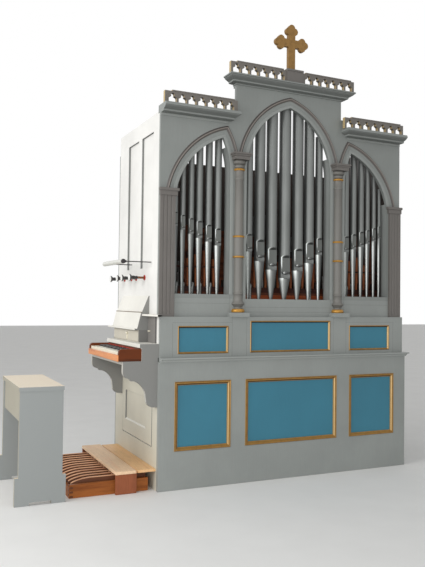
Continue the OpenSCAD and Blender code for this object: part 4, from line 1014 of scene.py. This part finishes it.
FRIEZE_IN_X = 0.512
FRIEZE_H = 0.0175


def add_friezes():
    """Flat strips under the wing cornices."""
    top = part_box("wing_cornices")[0][2] - PROUD
    bm = bmesh.new()
    for side in (-1, 1):
        x0, x1 = sorted((side * FRIEZE_IN_X, side * UPPER_HALF_W))
        block(bm, (x0, BOARD_Y - 0.004, top - FRIEZE_H), (x1, BOARD_Y + 0.001, top))
    add_piece("wing_friezes", "case_paint", bm, bevel=0.0012)


# Columns

COLUMN_Y = 0.040
COLUMN_Z0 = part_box("column_blocks")[1][2]
# Gilt rings as (inner radius, reach, height)
RINGS = [(0.035, 0.0435, 1.572), (0.035, 0.0435, 1.715), (0.030, 0.0415, 2.189)]
RING_HALF_H = 0.007
# Profiles as (radius, height over the foot)
GILT_FOOT = [(0.040, 0.001), (0.044, 0.001), (0.0478, 0.006), (0.048, 0.011), (0.046, 0.017),
             (0.042, 0.022), (0.0405, 0.0255), (0.040, 0.0255)]
SHAFT = [(0.006, 0.0), (0.040, 0.0), (0.040, 0.026), (0.029, 0.030), (0.028, 0.036), (0.032, 0.042),
         (0.044, 0.056), (0.0475, 0.061), (0.044, 0.067), (0.034, 0.080), (0.033, 0.084), (0.033, 0.126),
         (0.036, 0.129), (0.037, 0.134), (0.036, 0.139), (0.0325, 0.142), (0.032, 0.160), (0.032, 0.391),
         (0.036, 0.392), (0.036, 0.535), (0.032, 0.536), (0.0315, 0.934), (0.034, 0.937), (0.035, 0.942),
         (0.034, 0.947), (0.031, 0.950), (0.030, 1.015), (0.031, 1.018), (0.036, 1.023), (0.0385, 1.031),
         (0.036, 1.038), (0.032, 1.041), (0.040, 1.046), (0.046, 1.054), (0.0475, 1.061), (0.044, 1.068),
         (0.040, 1.0745), (0.006, 1.0745)]


def ring_profile(inner, reach):
    """A gilt ring with a sharp waist."""
    half = RING_HALF_H
    return [(inner, -half), (reach - 0.005, -half), (reach - 0.001, -half * 0.45), (reach, 0.0),
            (reach - 0.0015, half * 0.5), (reach - 0.006, half), (inner, half)]


def add_columns():
    """Turned shafts and their gilt rings, cut off at the board's face."""
    shafts = bmesh.new()
    rings = bmesh.new()
    for x in (-COLUMN_X, COLUMN_X):
        turned(shafts, SHAFT, (x, COLUMN_Y, COLUMN_Z0), steps=48, rear_y=BOARD_Y)
        turned(rings, GILT_FOOT, (x, COLUMN_Y, COLUMN_Z0), steps=48, rear_y=BOARD_Y)
        for inner, reach, z in RINGS:
            turned(rings, ring_profile(inner, reach), (x, COLUMN_Y, z), steps=48, rear_y=BOARD_Y)
    add_piece("column_shafts", "mauve_paint", shafts, look="column_paint", crease=45, replaces=["columns"])
    add_piece("gilt_rings", "gilt", rings, crease=50, replaces=["column_rings"])


# Side hatch: place, depth and sloping sill of its sunk field

FIELD_Y = (0.247, 0.699)
FIELD_Z = (0.369, 0.587)
FIELD_DEPTH = 0.011
FIELD_SILL = 0.010


def add_side_hatch():
    """Removable board with a sunk field and open joints at its near and lower edges."""
    low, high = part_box("side_hatch")
    near = low[1] + 0.009
    foot = low[2] + 0.005

    def loop(x, y0, y1, z0, z1):
        return [(x, y0, z0), (x, y1, z0), (x, y1, z1), (x, y0, z1)]

    bm = bmesh.new()
    skin(bm, [loop(high[0], near, high[1], foot, high[2]),
              loop(low[0], near, high[1], foot, high[2]),
              loop(low[0], *FIELD_Y, *FIELD_Z),
              loop(low[0] + FIELD_DEPTH, FIELD_Y[0], FIELD_Y[1] - 0.001, FIELD_Z[0] + FIELD_SILL,
                   FIELD_Z[1] - 0.001)])
    add_piece("hatch_board", "side_paint", bm, look="sunlit_lower_side_paint", bevel=0.0012, replaces=["side_hatch"])


# Pedals: number, half widths, height of the rounding, and noses as (distance from the end, fall of the top)

LONG_PEDALS = 12
LONG_HALF_W = 0.011
SHORT_HALF_W = 0.010
PEDAL_ROUND = 0.005
LONG_NOSE = [(0.0, 0.0285), (0.006, 0.0245), (0.02, 0.0185), (0.045, 0.0105), (0.08, 0.0035), (0.12, 0.0),
             (0.25, 0.0)]
SHORT_NOSE = [(0.0, 0.018), (0.006, 0.006), (0.018, 0.0)]
# Thickness of the cover plank
PLANK_T = 0.020


def rounded_bar(bm, low, high, y, half, nose):
    """A bar along X with a rounded top, as high and as long as the box from low to high."""
    rings = []
    for x, top in [(low[0] + along, high[2] - fall) for along, fall in nose] + [(high[0], high[2])]:
        ring = [(x, y - half, low[2]), (x, y + half, low[2])]
        for k in range(7):
            angle = math.pi * k / 6
            ring.append((x, y + half * math.cos(angle), top - PEDAL_ROUND + PEDAL_ROUND * math.sin(angle)))
        rings.append(ring)
    skin(bm, rings)


def add_pedals():
    low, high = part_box("long_pedals_row")
    first = low[1] + LONG_HALF_W
    pitch = (high[1] - LONG_HALF_W - first) / (LONG_PEDALS - 1)
    longs = bmesh.new()
    for i in range(LONG_PEDALS):
        rounded_bar(longs, low, high, first + i * pitch, LONG_HALF_W, LONG_NOSE)
    add_piece("long_pedals", "pedal_oak", longs, crease=50, replaces=["long_pedals_row"])
    low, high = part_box("short_pedals_row")
    shorts = bmesh.new()
    for i in range(LONG_PEDALS - 1):
        if has_sharp(i):
            rounded_bar(shorts, low, high, first + (i + 0.5) * pitch, SHORT_HALF_W, SHORT_NOSE)
    add_piece("short_pedals", "pedal_oak", shorts, crease=50, replaces=["short_pedals_row"])


def add_pedal_joints():
    """Fingers where the near rail takes the cross rail, dark as joints and from the painted shade that the
    pedal oak puts on all but its tops.
    """
    x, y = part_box("pedal_frame")[0][:2]
    bm = bmesh.new()
    for k in range(3):
        z = 0.003 + k * 0.028
        block(bm, (x + 0.001, y - 0.0004, z), (x + 0.025, y + 0.001, z + 0.013))
        block(bm, (x - 0.0004, y + 0.002, z + 0.013), (x + 0.001, y + 0.023, z + 0.027))
    add_piece("finger_joints", "pedal_oak", bm)


def add_planks():
    """Two planks with an open joint, on a reddish board leg at each end."""
    low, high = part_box("pedal_cover")
    far_low, far_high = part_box("floor_board")
    under = high[2] - PLANK_T
    add_board("cover_plank", "pine", (low[0], low[1], under), (high[0] - 0.004, high[1], high[2]),
              bevel=0.003, replaces=["pedal_cover"])
    add_board("second_plank", "pine", (far_low[0] + 0.003, far_low[1] + 0.004, far_low[2]),
              (far_high[0], far_high[1] - 0.02, far_high[2] - 0.002), look="second_pine", bevel=0.003,
              replaces=["floor_board"])
    legs = bmesh.new()
    for y in (low[1] + 0.003, high[1] - 0.022):
        block(legs, (low[0] + 0.002, y, low[2]), (high[0] - 0.003, y + 0.019, under))
    add_piece("plank_legs", "pine", legs, look="leg_pine", bevel=0.0015)


# Thin joints between the boards as (x0, x1, z0, z1, face), those on the right also mirrored to the left

MIDDLE_JOINTS = [(-0.360, 0.360, 1.218, 1.218, BOARD_Y), (-0.360, 0.360, 1.184, 1.184, BOARD_Y)]
RIGHT_JOINTS = [(0.362, 0.362, 1.150, MID_SILL_Z, BOARD_Y), (0.486, 0.486, 1.150, SIDE_SILL_Z, BOARD_Y),
                (0.488, 0.905, 1.243, 1.243, BOARD_Y), (0.366, 0.366, 0.878, 1.149, BAND_Y),
                (0.480, 0.480, 0.878, 1.149, BAND_Y), (0.925, 0.925, 0.878, 1.110, BAND_Y),
                (0.480, 0.925, 1.110, 1.110, BAND_Y)]
HAIR = 0.0009


def add_joints():
    """Dark hairlines where boards meet."""
    bm = bmesh.new()
    left = [(-x1, -x0, z0, z1, y) for x0, x1, z0, z1, y in RIGHT_JOINTS]
    for x0, x1, z0, z1, y in MIDDLE_JOINTS + RIGHT_JOINTS + left:
        wide = HAIR / 2 if x0 == x1 else 0
        tall = HAIR / 2 if z0 == z1 else 0
        block(bm, (x0 - wide, y - 0.0003, z0 - tall), (x1 + wide, y + 0.001, z1 + tall))
    add_piece("board_joints", "mauve_paint", bm, look="joint_dark")


dress_frame()
add_gilt_frames()
add_front_pipes()
add_small_feet()
add_wooden_feet()
add_toe_rails()
add_keys()
add_keydesk()
add_console_fittings()
add_desk_edges()
for number in STOPS:
    add_stop(number)
add_lamp()
add_hoods()
add_opening_edges()
add_linings()
add_friezes()
add_columns()
add_side_hatch()
add_pedals()
add_pedal_joints()
add_planks()
add_joints()


# Stage, lights and camera

def add_floor():
    """A pale floor that keeps the object's shadow."""
    bpy.ops.mesh.primitive_plane_add(size=60, location=(0, 0, -0.001))
    floor = bpy.context.object
    floor.name = "studio_floor"
    shader = Shader(0.9)
    shader.material.name = "studio_floor"
    greys = [(0.3, shade((232, 232, 230))), (0.7, shade((236, 236, 234)))]
    shader.colour(shader.ramp(shader.noise(3.0), greys))
    floor.data.materials.append(shader.material)


def add_world():
    """Soft light from all round that looks white to the camera, in reflections and through glass."""
    world = bpy.data.worlds.new("studio")
    bpy.context.scene.world = world
    world.use_nodes = True
    tree = world.node_tree
    background = tree.nodes["Background"]
    background.inputs["Color"].default_value = (1, 1, 1, 1)
    path = add_node(tree, "LightPath", {}).outputs
    white = path["Is Camera Ray"]
    for kind in ("Is Transmission Ray", "Is Glossy Ray"):
        white = add_node(tree, "Math", {0: white, 1: path[kind]}, operation="MAXIMUM").outputs[0]
    level = add_node(tree, "MapRange", {"Value": white, "To Min": WORLD_LEVEL, "To Max": 1.0})
    tree.links.new(level.outputs["Result"], background.inputs["Strength"])


def add_light(name, at, toward, size, power):
    lamp = bpy.data.lights.new(name, "AREA")
    lamp.shape = "RECTANGLE"
    lamp.size, lamp.size_y = size
    lamp.energy = power
    holder = bpy.data.objects.new(name, lamp)
    holder.location = at
    holder.rotation_euler = (Vector(toward) - Vector(at)).to_track_quat("-Z", "Y").to_euler()
    bpy.context.scene.collection.objects.link(holder)


def add_camera():
    data = bpy.data.cameras.new("camera")
    data.sensor_fit = "VERTICAL"
    data.sensor_height = SENSOR_MM
    data.lens = FOCAL_PX / IMAGE_H * SENSOR_MM
    camera = bpy.data.objects.new("camera", data)
    turn = Matrix.Rotation(-CAMERA_YAW, 4, "Z") @ Matrix.Rotation(math.pi / 2 + CAMERA_PITCH, 4, "X")
    turn = turn @ Matrix.Rotation(CAMERA_ROLL, 4, "Z")
    camera.matrix_world = Matrix.Translation(CAMERA_AT) @ turn
    bpy.context.scene.collection.objects.link(camera)
    bpy.context.scene.camera = camera


add_camera()
add_floor()
add_world()
for light in LIGHTS:
    add_light(*light)
bpy.context.scene.view_settings.view_transform = "Standard"
